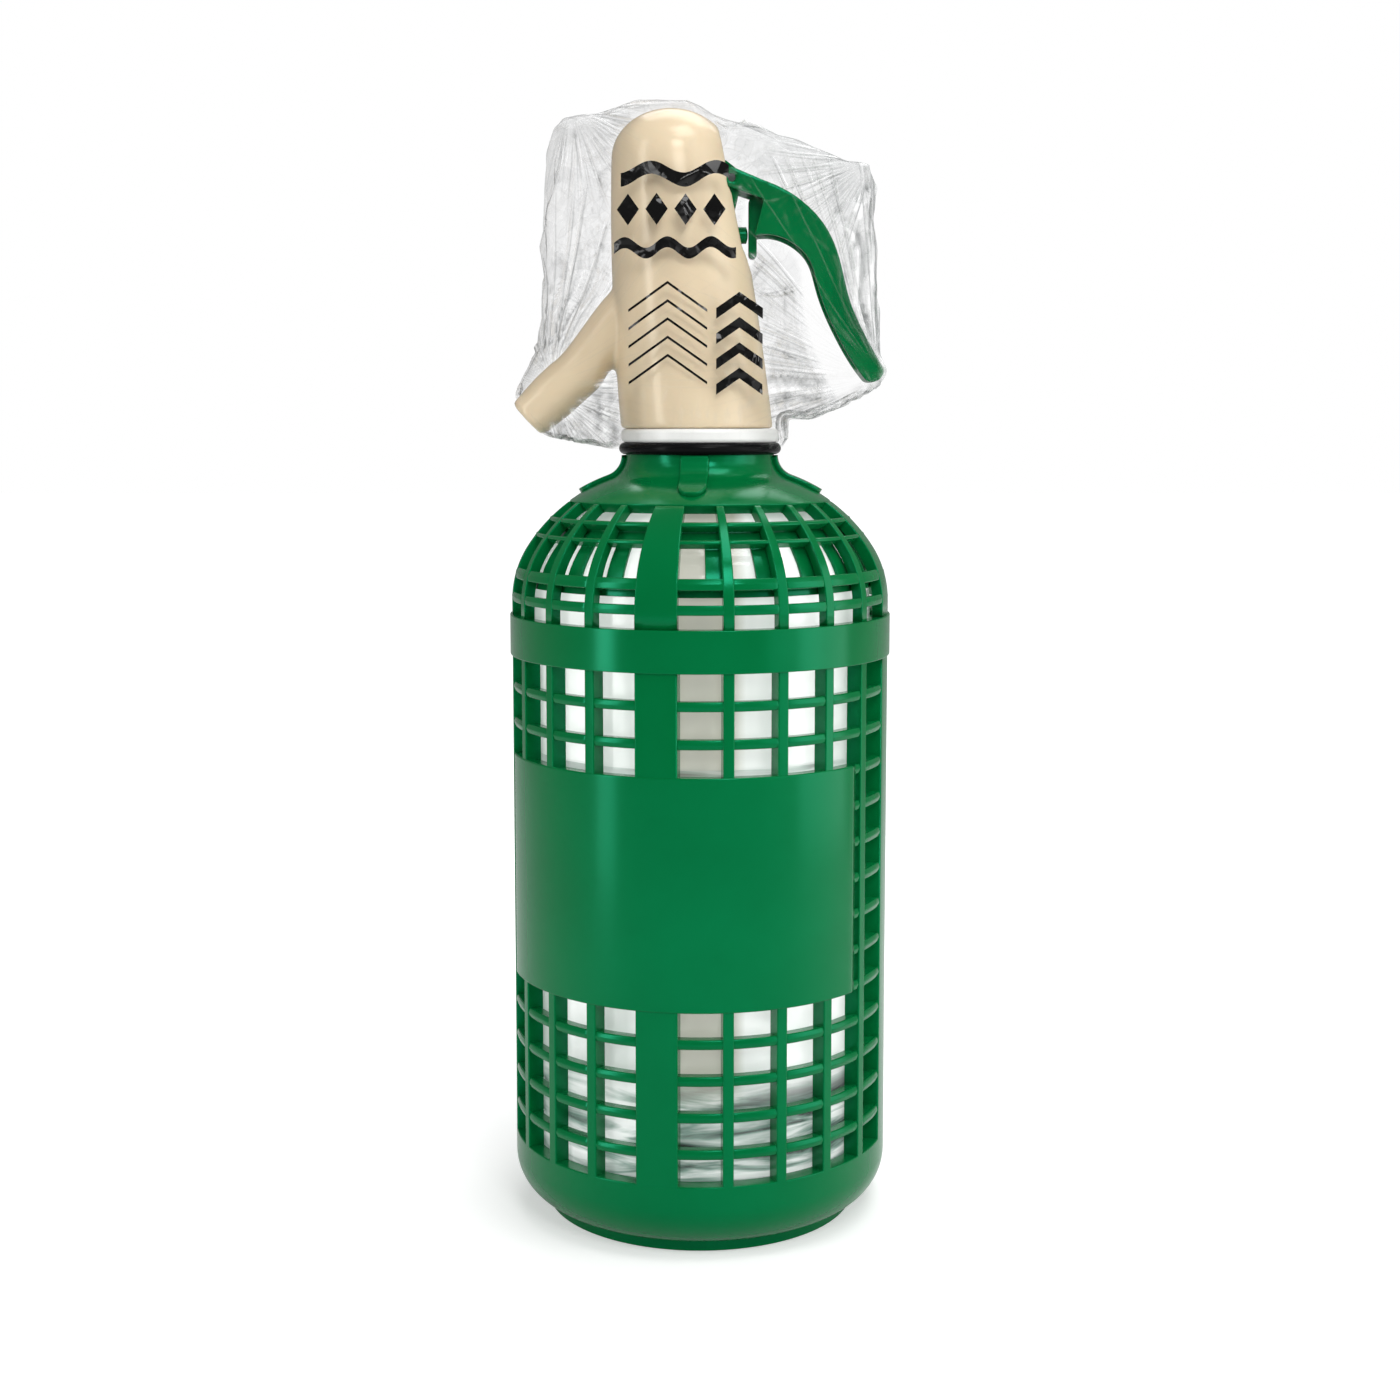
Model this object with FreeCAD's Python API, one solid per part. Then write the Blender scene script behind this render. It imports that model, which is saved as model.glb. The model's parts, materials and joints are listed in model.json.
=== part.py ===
"""Soda siphon: a glass bottle in a two-piece plastic cage, with a moulded lever head.

Millimetres, +Z up. The origin is the centre of the foot ring, on the surface
that the siphon stands on. The spout points to -X and the lever to +X.
Bearings are degrees round the bottle, from the front (-Y) towards +X.
"""
import FreeCAD, Part
import os
from math import atan2, cos, degrees, pi, radians, sin, sqrt

Vector = FreeCAD.Vector
ORIGIN = Vector(0, 0, 0)
UP = Vector(0, 0, 1)
ALONG_Y = Vector(0, 1, 0)

# ---- Driving dimensions ----

# Clearances
shell_gap = 0.3          # between nested shells, and round the wrapping film
running_gap = 0.05       # between a moving pin, spool or knob and its bore
push_gap = 0.15          # between the lever's nose and the knob it pushes
plate_fit = 0.2          # between the foot ring and the basket's lip
overcut = 2.0            # how far a cutting shape runs past the wall it cuts

# Foot plate under the bottle
foot_inset = 9.6         # from the cage's face to the foot ring's
foot_ring_width = 3.0
foot_height = 2.3        # how far the foot ring stands below the cage
plate_thickness = 1.6
plate_ledge = 2.9        # how far the plate reaches over the cage's lip
foot_rib_count = 8
foot_rib_width = 1.8
foot_hub_radius = 9.0

# Lower basket of the cage
cage_radius = 55.0
cage_depth = 4.8
heel_radius = 13.0
lip_thickness = 3.0
first_window_height = 22.0
row_count = 14
row_pitch = 10.32
window_height = 7.5
rib_recess = 0.45        # cross ribs sit behind the face of the uprights
rib_chamfer = 0.5
rib_back_step = 1.0      # cross ribs are this much thinner than the uprights
rim_height = 10.3
rim_thickness = 3.0

# Uprights, shared by the basket and the dome
wide_bar_count = 4
wide_bar_bearing = -12.6
wide_bar_angle = 12.4
thin_bar_angle = 3.2
windows_per_quarter = 5

# Label panel on the basket's front
panel_half_angle = 65.0
panel_first_row = 4      # counted from the top
panel_row_count = 6
panel_thickness = 2.6
panel_proud = 0.3

# Dome of the cage
skirt_height = 11.8
skirt_proud = 0.6        # stands out from the cage's face
dome_straight = 4.0      # upright wall above the skirt, before the shoulder
dome_wall = 3.2
shoulder_low_radius = 29.0
shoulder_low_angle = 32.8
shoulder_high_radius = 48.2
neck_fillet = 7.4
sleeve_radius = 21.6
sleeve_straight = 0.3
dome_window_heights = (3.9, 4.0, 9.0, 3.6, 4.2)   # bottom row first
dome_rib_heights = (2.8, 3.1, 1.0, 1.1)
dome_rib_recess = 0.2
dome_rib_back_step = 0.4   # its ribs end this far short of its inner face

# Raised tongues on the neck of the dome
tongue_count = 4
tongue_bearing = -4.0
tongue_width = 8.5
tongue_reach = 35.0
tongue_height = 1.3
tongue_top_drop = 1.0

# Slatted spacer between the dome and the glass
spacer_hoop = 4.0
spacer_slat_length = 12.0
spacer_low_edge = 5.0    # above the start of the shoulder
slat_count = 22
slat_angle = 5.8
slat_bearing = 4.6

# Glass bottle
glass_gap = 0.5
glass_wall = 4.0
glass_base = 8.0
glass_heel_radius = 7.0
punt_depth = 4.0
punt_radius = 36.0
neck_radius = 14.0
glass_neck_fillet = 12.0
bead_radius = 15.8
bead_height = 6.0
bead_round = 1.5

# Neck ring, collar nut, split rings and gasket
ring_radius = 23.6
ring_height = 3.4
collar_radius = 22.9
collar_height = 4.0
collar_round = 1.2
spigot_radius = 18.0
spigot_height = 5.9
split_ring_radius = 17.0
split_ring_height = 4.0
split_gap = 0.8
gasket_thickness = 1.5

# Moulded head
head_base_radius = 22.1
head_base_offset = -0.9
head_waist_radius = 20.1
head_waist_offset = -5.4
head_waist_height = 45.9
head_crown_radius = 17.2
head_crown_offset = -8.3
head_crown_height = 77.1
head_dome_height = 14.3
socket_step_height = 10.4
upper_socket_clearance = 0.4
flat_base_height = 52.0   # the lever side is cut flat above this
flat_base_reach = 11.9
flat_top_reach = 6.9

# Spout
spout_tip_x = -50.3
spout_tip_height = 2.5    # centre of the end face above the head's base
spout_slope = 42.7        # degrees below level
spout_radius = 7.25
spout_end_radius = 6.5
spout_bore_radius = 3.6
spout_round = 1.5
spout_taper_length = 10.0
spout_straight = 22.0
spout_root_x = -25.0      # where the barrel has flared into the head
spout_root_bottom = 17.5  # above the head's base
spout_root_top = 40.3
spout_root_half_width = 8.0

# Valve, on a level axis across the head
valve_height = 55.5       # above the head's base
valve_bore_radius = 4.3
valve_bore_end = -20.5
outlet_x = -10.0
outlet_port_radius = 2.0
riser_radius = 2.2
tube_socket_depth = 6.0
spool_radius = 4.2
spool_stem_radius = 1.2
spool_stem_end_x = 10.5
spool_waist_radius = 2.2
spool_end_x = -13.0
spool_shoulder_x = 7.0
seal_width = 1.4
seal_groove_depth = 1.2
spool_land = 0.4          # beside each seal, towards the waist
inner_seal_x = -7.2
outer_seal_x = 5.6
knob_radius = 2.4
knob_dome_radius = 6.0
knob_x = 13.8
spring_radius = 2.9
spring_wire = 0.7
spring_turns = 4

# Pocket in the head for the lever's nose
pocket_half_width = 3.3
pocket_floor_x = 9.0
pocket_drop = 9.5         # below the valve's axis
pocket_rise = 5.5         # above it

# Dip tube
tube_radius = 4.0
tube_bore_radius = 2.6
tube_floor_gap = 4.0
tube_collar_radius = 9.2
tube_collar_depth = 0.8

# Lever, measured from its pivot
pivot_x = 9.0
pivot_rise = 15.6         # above the valve's axis
pin_radius = 1.1
pin_recess = 0.7
ear_radius = 2.9
lever_root_width = 16.0
lever_tip_width = 12.6
lever_wall = 1.9
lever_web = 2.4
# outer edge, as reach and drop
root_reach = 8.9
root_drop = 0.6
arm_reach = 16.2
arm_drop = 3.8
bend_reach = 22.1
bend_drop = 8.1
elbow_reach = 26.4
elbow_drop = 12.9
knee_reach = 30.5
knee_drop = 21.2
shin_reach = 34.0
shin_drop = 34.5
ankle_reach = 38.8
ankle_drop = 45.0
toe_reach = 44.0
toe_drop = 54.0
toe_round = 2.2
toe_sag = 3.52            # how far the toe's round hangs below its outer corner
lever_lean_angle = 65.0   # how steeply the outer edge falls, on the whole
lever_top_angle = 20.0    # from upright, where the round end meets the outer edge
# inner edge
sole_reach = 38.8
sole_drop = 57.4
inner_ankle_reach = 30.3
inner_ankle_drop = 44.2
inner_shin_reach = 24.7
inner_shin_drop = 30.5
inner_elbow_reach = 22.1
inner_elbow_drop = 22.9
inner_arm_reach = 16.4
inner_arm_drop = 17.7
heel_reach = 6.5
heel_drop = 16.4
notch_reach = 9.2
notch_drop = 6.0
# rib that pushes the knob
nose_thickness = 2.4
nose_width = 4.6
nose_drop = 22.5

# Bracket that carries the lever's pin
bracket_width = 11.4
bracket_top_rise = 5.0
bracket_foot_drop = 8.4
bracket_depth = 3.0
bracket_nose_low_angle = 20.0    # below level, where the round of its nose begins
bracket_nose_high_angle = 50.0   # above level, where it ends

# Film hood over the head; heights are above the head's base
film_thickness = 0.5
hood_lens_reach = 62.3
hood_half_depth = 24.7
hood_section_margin = 1.5     # the ridged end view is this much wider than the plan
hood_ridge_left = (-60.0, 85.1)
hood_ridge_top = (-17.7, 95.3)
hood_ridge_brow = (0.3, 93.5)
hood_ridge_right = (60.0, 73.9)
hood_mouth_reach = 24.9
hood_mouth_clearance = 0.3
hood_gather_height = 2.9
hood_left_hem = (-44.5, -1.7)
hood_left_tip = (-53.5, 9.4)
hood_left_flank = (-51.4, 13.5)
hood_left_waist = (-48.1, 21.5)
hood_left_chest = (-45.3, 56.0)
hood_left_brow = (-43.2, 77.0)
hood_left_corner = (-39.5, 90.0)
hood_right_hem = (31.5, 2.9)
hood_right_sole = (52.3, 11.2)
hood_right_tip = (54.4, 15.6)
hood_right_flank = (52.7, 40.5)
hood_right_brow = (52.0, 69.0)
hood_right_corner = (48.8, 77.6)

# ---- Heights and radii that follow ----
foot_radius = cage_radius - foot_inset
lip_bottom = foot_height
lip_top = lip_bottom + lip_thickness
plate_top = lip_top + plate_thickness
lip_bore = foot_radius + plate_fit
cage_inner = cage_radius - cage_depth
skirt_radius = cage_radius + skirt_proud
band_bottom = first_window_height + (row_count - 1) * row_pitch + window_height
rim_top = band_bottom + rim_height
rim_radius = cage_inner + rim_thickness
band_top = band_bottom + skirt_height
shoulder_start = band_top + dome_straight
bottle_radius = cage_inner - glass_gap
quarter = 360.0 / wide_bar_count
window_angle = (quarter - wide_bar_angle - (windows_per_quarter - 1) * thin_bar_angle) / windows_per_quarter
half_window = window_angle / 2

low_centre_x = cage_radius - shoulder_low_radius
low_sin = sin(radians(shoulder_low_angle))
low_cos = cos(radians(shoulder_low_angle))
high_centre_x = low_centre_x - (shoulder_high_radius - shoulder_low_radius) * low_cos
high_centre_z = shoulder_start - (shoulder_high_radius - shoulder_low_radius) * low_sin


def fillet_centre(neck, radius, inset):
    """Centre of the hollow curve from the shoulder, set in by inset, to a neck."""
    x = neck + radius
    reach = shoulder_high_radius - inset + radius
    return x, high_centre_z + sqrt(reach ** 2 - (x - high_centre_x) ** 2)


sleeve_top = fillet_centre(sleeve_radius, neck_fillet, 0)[1] + sleeve_straight
ring_top = sleeve_top + ring_height
head_base = ring_top + collar_height
spigot_top = head_base + spigot_height
bead_bottom = spigot_top + split_ring_height
hood_mouth_height = sleeve_top + ring_height / 2
mouth_height = bead_bottom + bead_height
ceiling = mouth_height + gasket_thickness
head_top = head_base + head_crown_height + head_dome_height
valve_z = head_base + valve_height
pivot_z = valve_z + pivot_rise
pivot = Vector(pivot_x, 0, pivot_z)


# ---- Drawing helpers ----

class Outline:
    """A closed outline in the XZ plane, drawn edge by edge."""

    def __init__(self, x, z):
        self.start = Vector(x, 0, z)
        self.here = self.start
        self.edges = []

    def line(self, x, z):
        there = Vector(x, 0, z)
        self.edges.append(Part.LineSegment(self.here, there).toShape())
        self.here = there
        return self

    def arc(self, centre_x, centre_z, x, z):
        """The shorter arc about a centre, to (x, z)."""
        radius = sqrt((x - centre_x) ** 2 + (z - centre_z) ** 2)
        first = atan2(self.here.z - centre_z, self.here.x - centre_x)
        turn = atan2(z - centre_z, x - centre_x) - first
        turn = (turn + pi) % (2 * pi) - pi
        middle = first + turn / 2
        through = Vector(centre_x + radius * cos(middle), 0, centre_z + radius * sin(middle))
        there = Vector(x, 0, z)
        self.edges.append(Part.Arc(self.here, through, there).toShape())
        self.here = there
        return self

    def curve(self, *points):
        """A smooth curve through points to the last of them."""
        spots = [self.here] + [Vector(x, 0, z) for x, z in points]
        spline = Part.BSplineCurve()
        spline.interpolate(spots)
        self.edges.append(spline.toShape())
        self.here = spots[-1]
        return self

    def through(self, middle, end):
        """An arc through a middle point to an end point."""
        there = Vector(end[0], 0, end[1])
        self.edges.append(Part.Arc(self.here, Vector(middle[0], 0, middle[1]), there).toShape())
        self.here = there
        return self

    def face(self):
        if self.here.distanceToPoint(self.start) > 1e-6:
            self.line(self.start.x, self.start.z)
        return Part.Face(Part.Wire(self.edges))


def turned(outline, angle=360.0, bearing=None):
    """Turns an outline about the bottle axis, centred on a bearing if it isn't whole."""
    face = outline.face()
    if bearing is not None:
        face.rotate(ORIGIN, UP, bearing - 90 - angle / 2)
    return face.revolve(ORIGIN, UP, angle)


def at_bearing(shape, bearing):
    """A copy of a shape built along +X, turned to a bearing."""
    copy = shape.copy()
    copy.rotate(ORIGIN, UP, bearing - 90)
    return copy


def slab(outline, width):
    """Pushes an outline out to both sides of the XZ plane, width in all."""
    face = outline.face()
    face.translate(Vector(0, -width / 2, 0))
    return face.extrude(Vector(0, width, 0))


def tube(outer, inner, bottom, top):
    """A plain upright ring."""
    return turned(Outline(inner, bottom).line(outer, bottom).line(outer, top).line(inner, top))


def level_rod(radius, x_from, x_to):
    """A rod on the valve's level axis."""
    return Part.makeCylinder(radius, x_to - x_from, Vector(x_from, 0, valve_z), Vector(1, 0, 0))


def block(x_from, x_to, half_width, bottom, top):
    return Part.makeBox(x_to - x_from, 2 * half_width, top - bottom, Vector(x_from, -half_width, bottom))


def shoulder_point(height, inset=0.0):
    """Radius and outward normal (x, z) of the shoulder's face at a height."""
    if height <= shoulder_start:
        return cage_radius - inset, 1.0, 0.0
    low = shoulder_low_radius
    if height - shoulder_start <= low * low_sin:
        centre_x, centre_z, radius = low_centre_x, shoulder_start, low
    else:
        centre_x, centre_z, radius = high_centre_x, high_centre_z, shoulder_high_radius
    normal_z = (height - centre_z) / radius
    normal_x = sqrt(1 - normal_z ** 2)
    return centre_x + radius * normal_x - inset * normal_x, normal_x, normal_z


def neck_joint(neck, fillet, inset):
    """Centre of the hollow curve to a neck, and the point where it meets the shoulder."""
    fillet_x, fillet_z = fillet_centre(neck, fillet, inset)
    high = shoulder_high_radius - inset
    share = high / (high + fillet)
    joint_x = high_centre_x + (fillet_x - high_centre_x) * share
    joint_z = high_centre_z + (fillet_z - high_centre_z) * share
    return fillet_x, fillet_z, joint_x, joint_z


def draw_shoulder(path, inset, neck, fillet, rising=True):
    """Adds the shoulder's curves, set in by inset, and the hollow curve to a neck."""
    low = shoulder_low_radius - inset
    fillet_x, fillet_z, joint_x, joint_z = neck_joint(neck, fillet, inset)
    knee_x = low_centre_x + low * low_cos
    knee_z = shoulder_start + low * low_sin
    if rising:
        path.arc(low_centre_x, shoulder_start, knee_x, knee_z)
        path.arc(high_centre_x, high_centre_z, joint_x, joint_z)
        path.arc(fillet_x, fillet_z, neck, fillet_z)
    else:
        path.arc(fillet_x, fillet_z, joint_x, joint_z)
        path.arc(high_centre_x, high_centre_z, knee_x, knee_z)
        path.arc(low_centre_x, shoulder_start, cage_radius - inset, shoulder_start)
    return path


# ---- Cage ----

def window_bearings():
    """Bearing of the middle of each column of windows, with its place in its quarter."""
    columns = []
    for bar in range(wide_bar_count):
        for place in range(windows_per_quarter):
            from_bar = wide_bar_angle / 2 + half_window + place * (window_angle + thin_bar_angle)
            columns.append((wide_bar_bearing + bar * quarter + from_bar, from_bar + bar * quarter))
    return columns


def cross_rib(radius, depth, recess, chamfer, low, high, normal_x=1.0, normal_z=0.0):
    """A straight rib between two uprights, built along +X; low and high are its edges on the face."""
    chord = cos(radians(half_window))
    middle_x = radius * chord - recess * normal_x
    inner_x = middle_x - depth * normal_x
    inner_z = -depth * normal_z
    path = Outline(inner_x, low + inner_z)
    path.line(middle_x - chamfer * normal_x, low - chamfer * normal_z)
    path.line(middle_x - chamfer * normal_z, low + chamfer * normal_x)
    path.line(middle_x + chamfer * normal_z, high - chamfer * normal_x)
    path.line(middle_x - chamfer * normal_x, high - chamfer * normal_z)
    path.line(inner_x, high + inner_z)
    return path


def make_basket():
    """Lower basket: heel, lattice and label panel, with a thinner rim for the dome's skirt."""
    heel_centre_x = cage_radius - heel_radius
    heel_centre_z = lip_bottom + heel_radius
    lip_z = heel_centre_z - sqrt(heel_radius ** 2 - (lip_bore - heel_centre_x) ** 2)
    wall = Outline(lip_bore, lip_z)
    wall.arc(heel_centre_x, heel_centre_z, cage_radius, heel_centre_z)
    wall.line(cage_radius, band_bottom)
    wall.line(rim_radius, band_bottom)
    wall.line(rim_radius, rim_top)
    wall.line(cage_inner, rim_top)
    wall.line(cage_inner, lip_top + lip_thickness)
    wall.line(cage_inner - lip_thickness / 2, lip_top)
    wall.line(lip_bore, lip_top)
    basket = turned(wall)

    opening = Outline(cage_inner - overcut, first_window_height)
    opening.line(cage_radius + overcut, first_window_height)
    opening.line(cage_radius + overcut, band_bottom)
    opening.line(cage_inner - overcut, band_bottom)
    columns = window_bearings()
    basket = basket.cut([turned(opening, window_angle, bearing) for bearing, from_front in columns])

    rib_height = row_pitch - window_height
    half_chord = cage_radius * sin(radians(half_window))
    rib_length = 2 * (half_chord + cage_radius * radians(thin_bar_angle) / 4)
    rib_depth = cage_depth - rib_back_step
    panel_last_row = panel_first_row + panel_row_count - 1
    ribs = []
    for bearing, from_front in columns:
        off_front = min(from_front, 360 - from_front)
        behind_panel = off_front + half_window < panel_half_angle
        for row in range(1, row_count):
            hidden = behind_panel and panel_first_row <= row < panel_last_row
            if not hidden:
                top = band_bottom - window_height - (row - 1) * row_pitch
                rib = cross_rib(cage_radius, rib_depth, rib_recess, rib_chamfer, top - rib_height, top)
                ribs.append(at_bearing(slab(rib, rib_length), bearing))
    basket = basket.fuse(ribs)

    panel_top = band_bottom - (panel_first_row - 1) * row_pitch + rib_height
    panel_bottom = panel_top - panel_row_count * row_pitch - rib_height
    panel_face = cage_radius + panel_proud
    panel = Outline(panel_face - panel_thickness, panel_bottom)
    panel.line(panel_face - panel_proud, panel_bottom)
    panel.line(panel_face, panel_bottom + panel_proud)
    panel.line(panel_face, panel_top - panel_proud)
    panel.line(panel_face - panel_proud, panel_top)
    panel.line(panel_face - panel_thickness, panel_top)
    return basket.fuse(turned(panel, 2 * panel_half_angle, wide_bar_bearing))


def make_foot_plate():
    """Round plate that closes the basket, with a foot ring and a ribbed hub below."""
    plate_radius = foot_radius + plate_ledge
    section = Outline(0, lip_top)
    section.line(foot_hub_radius - foot_rib_width, lip_top)
    section.line(foot_hub_radius - foot_rib_width, foot_height)
    section.line(foot_hub_radius, foot_height)
    section.line(foot_hub_radius, lip_top)
    section.line(foot_radius - foot_ring_width, lip_top)
    section.line(foot_radius - foot_ring_width, 0)
    section.line(foot_radius, 0)
    section.line(foot_radius, lip_top)
    section.line(plate_radius, lip_top)
    section.line(plate_radius, plate_top)
    section.line(0, plate_top)
    ribs = []
    for index in range(foot_rib_count):
        rib = block(foot_hub_radius - foot_rib_width / 2, foot_radius - foot_ring_width / 2,
                    foot_rib_width / 2, foot_height, lip_top)
        ribs.append(at_bearing(rib, wide_bar_bearing + index * 360.0 / foot_rib_count))
    return turned(section).fuse(ribs)


def dome_window_edges():
    """Heights of the windows' edges on the dome's face, from the bottom up."""
    edges = []
    height = band_top
    for index, window in enumerate(dome_window_heights):
        edges.append((height, height + window))
        height += window
        if index < len(dome_rib_heights):
            height += dome_rib_heights[index]
    return edges


def make_dome():
    """Upper part of the cage: skirt, latticed shoulder, plain neck and raised tongues."""
    wall_inner = cage_radius - dome_wall
    skirt_inner = rim_radius + shell_gap
    sleeve_inner = sleeve_radius - dome_wall
    fillet_z = fillet_centre(sleeve_radius, neck_fillet, 0)[1]
    wall = Outline(skirt_inner, band_bottom)
    wall.line(skirt_radius, band_bottom)
    wall.line(skirt_radius, band_top - (skirt_radius - cage_radius))
    wall.line(cage_radius, band_top)
    wall.line(cage_radius, shoulder_start)
    draw_shoulder(wall, 0, sleeve_radius, neck_fillet)
    wall.line(sleeve_radius, sleeve_top)
    wall.line(sleeve_inner, sleeve_top)
    wall.line(sleeve_inner, fillet_z)
    draw_shoulder(wall, dome_wall, sleeve_inner, neck_fillet + dome_wall, rising=False)
    wall.line(wall_inner, rim_top)
    wall.line(skirt_inner, rim_top)
    dome = turned(wall)

    edges = dome_window_edges()
    top_x, normal_x, normal_z = shoulder_point(edges[-1][1])
    reach = 2 * dome_wall
    opening = Outline(wall_inner - reach, band_top)
    opening.line(cage_radius + reach, band_top)
    opening.line(cage_radius + reach, edges[-1][1] + reach * normal_z)
    opening.line(top_x + reach * normal_x, edges[-1][1] + reach * normal_z)
    opening.line(top_x - reach * normal_x, edges[-1][1] - reach * normal_z)
    opening.line(wall_inner - reach, edges[-1][1] - reach * normal_z)
    dome = dome.cut([turned(opening, window_angle, bearing) for bearing, from_front in window_bearings()])

    ribs = []
    for index in range(len(edges) - 1):
        low = edges[index][1]
        high = edges[index + 1][0]
        radius, normal_x, normal_z = shoulder_point((low + high) / 2)
        middle = (low + high) / 2
        half = (high - low) / 2 / normal_x
        chord = radius * cos(radians(half_window))
        length = 2 * radius * (sin(radians(half_window)) + radians(thin_bar_angle) / 4)
        crest = dome_rib_recess
        root = dome_wall - dome_rib_back_step
        rib = Outline(chord - root * normal_x + half * normal_z, middle - root * normal_z - half * normal_x)
        rib.line(chord - crest * normal_x + half * normal_z, middle - crest * normal_z - half * normal_x)
        rib.line(chord - crest * normal_x - half * normal_z, middle - crest * normal_z + half * normal_x)
        rib.line(chord - root * normal_x - half * normal_z, middle - root * normal_z + half * normal_x)
        for bearing, from_front in window_bearings():
            ribs.append(at_bearing(slab(rib, length), bearing))
    dome = dome.fuse(ribs)

    return dome.fuse(make_tongues())


def make_tongues():
    """Raised tongues that run from the neck down onto the shoulder, each with a round end."""
    top = sleeve_top - tongue_top_drop
    root = tongue_height
    out_x, out_z, out_joint_x, out_joint_z = neck_joint(
        sleeve_radius + tongue_height, neck_fillet - tongue_height, -tongue_height)
    in_x, in_z, in_joint_x, in_joint_z = neck_joint(sleeve_radius - root, neck_fillet + root, root)
    outer = shoulder_high_radius + tongue_height
    inner = shoulder_high_radius - root
    end_z = high_centre_z + sqrt(outer ** 2 - (tongue_reach - high_centre_x) ** 2)
    end_share = inner / outer
    skin = Outline(sleeve_radius - root, top)
    skin.line(sleeve_radius + tongue_height, top)
    skin.line(sleeve_radius + tongue_height, out_z)
    skin.arc(out_x, out_z, out_joint_x, out_joint_z)
    skin.arc(high_centre_x, high_centre_z, tongue_reach, end_z)
    skin.line(high_centre_x + (tongue_reach - high_centre_x) * end_share,
              high_centre_z + (end_z - high_centre_z) * end_share)
    skin.arc(high_centre_x, high_centre_z, in_joint_x, in_joint_z)
    skin.arc(in_x, in_z, sleeve_radius - root, in_z)
    tongues = []
    bottom = end_z - 2 * tongue_width
    straight = tongue_reach - tongue_width / 2
    plan = block(sleeve_radius / 2, straight, tongue_width / 2, bottom, top)
    plan = plan.fuse(Part.makeCylinder(tongue_width / 2, top - bottom, Vector(straight, 0, bottom)))
    for index in range(tongue_count):
        bearing = tongue_bearing + index * 360.0 / tongue_count
        sweep = 2 * degrees(tongue_width / sleeve_radius)
        tongues.append(turned(skin, sweep, bearing).common(at_bearing(plan, bearing)))
    return tongues


def make_spacer():
    """Slatted hoop that sits over the glass shoulder, inside the dome."""
    outer_inset = dome_wall + shell_gap
    inner_inset = cage_depth + glass_gap - shell_gap
    low = shoulder_start + spacer_low_edge
    heights = (low, low + spacer_hoop, low + spacer_hoop + spacer_slat_length,
               low + 2 * spacer_hoop + spacer_slat_length)
    middle = (heights[0] + heights[3]) / 2
    outer = [shoulder_point(height, outer_inset) for height in (heights[0], middle, heights[3])]
    inner = [shoulder_point(height, inner_inset) for height in (heights[0], middle, heights[3])]
    section = Outline(inner[0][0], heights[0] - inner_inset * inner[0][2])
    section.line(outer[0][0], heights[0] - outer_inset * outer[0][2])
    section.through((outer[1][0], middle - outer_inset * outer[1][2]),
                    (outer[2][0], heights[3] - outer_inset * outer[2][2]))
    section.line(inner[2][0], heights[3] - inner_inset * inner[2][2])
    section.through((inner[1][0], middle - inner_inset * inner[1][2]),
                    (inner[0][0], heights[0] - inner_inset * inner[0][2]))
    hoop = turned(section)
    window = Outline(cage_inner / 2, heights[1])
    window.line(cage_radius, heights[1])
    window.line(cage_radius, heights[2])
    window.line(cage_inner / 2, heights[2])
    pitch = 360.0 / slat_count
    openings = []
    for index in range(slat_count):
        bearing = slat_bearing + (index + 0.5) * pitch
        openings.append(turned(window, pitch - slat_angle, bearing))
    return hoop.cut(openings)


# ---- Bottle and neck ----

glass_inset = cage_depth + glass_gap
glass_floor = plate_top + punt_depth + glass_base
neck_bore = neck_radius - glass_wall
tube_bottom = glass_floor + tube_floor_gap


def make_bottle():
    """Thick glass bottle with a hollowed base and a beaded mouth."""
    inner_radius = bottle_radius - glass_wall
    punt_curve = (punt_radius ** 2 + punt_depth ** 2) / (2 * punt_depth)
    glass = Outline(0, plate_top + punt_depth)
    glass.arc(0, plate_top + punt_depth - punt_curve, punt_radius, plate_top)
    glass.line(bottle_radius - glass_heel_radius, plate_top)
    glass.arc(bottle_radius - glass_heel_radius, plate_top + glass_heel_radius,
              bottle_radius, plate_top + glass_heel_radius)
    glass.line(bottle_radius, shoulder_start)
    draw_shoulder(glass, glass_inset, neck_radius, glass_neck_fillet)
    glass.line(neck_radius, bead_bottom)
    glass.line(bead_radius, bead_bottom)
    glass.line(bead_radius, mouth_height - bead_round)
    glass.arc(bead_radius - bead_round, mouth_height - bead_round, bead_radius - bead_round, mouth_height)
    glass.line(neck_bore, mouth_height)
    fillet = glass_neck_fillet + glass_wall
    glass.line(neck_bore, fillet_centre(neck_bore, fillet, glass_inset + glass_wall)[1])
    draw_shoulder(glass, glass_inset + glass_wall, neck_bore, fillet, rising=False)
    glass.line(inner_radius, glass_floor + glass_heel_radius)
    glass.arc(inner_radius - glass_heel_radius, glass_floor + glass_heel_radius,
              inner_radius - glass_heel_radius, glass_floor)
    glass.line(0, glass_floor)
    return turned(glass)


def make_neck_ring():
    """Rubber ring with a full round edge, squeezed between the cage's neck and the collar."""
    half = ring_height / 2
    section = Outline(sleeve_radius - dome_wall, sleeve_top)
    section.line(ring_radius - half, sleeve_top)
    section.arc(ring_radius - half, sleeve_top + half, ring_radius, sleeve_top + half)
    section.arc(ring_radius - half, sleeve_top + half, ring_radius - half, ring_top)
    section.line(sleeve_radius - dome_wall, ring_top)
    return turned(section)


def make_collar_nut():
    """White collar with a spigot that screws up into the head."""
    bore = neck_radius + shell_gap
    section = Outline(bore, ring_top)
    section.line(collar_radius - collar_round, ring_top)
    section.arc(collar_radius - collar_round, ring_top + collar_round, collar_radius, ring_top + collar_round)
    section.line(collar_radius, head_base - collar_round)
    section.arc(collar_radius - collar_round, head_base - collar_round,
                collar_radius - collar_round, head_base)
    section.line(spigot_radius, head_base)
    section.line(spigot_radius, spigot_top)
    section.line(bore, spigot_top)
    return turned(section)


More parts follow.
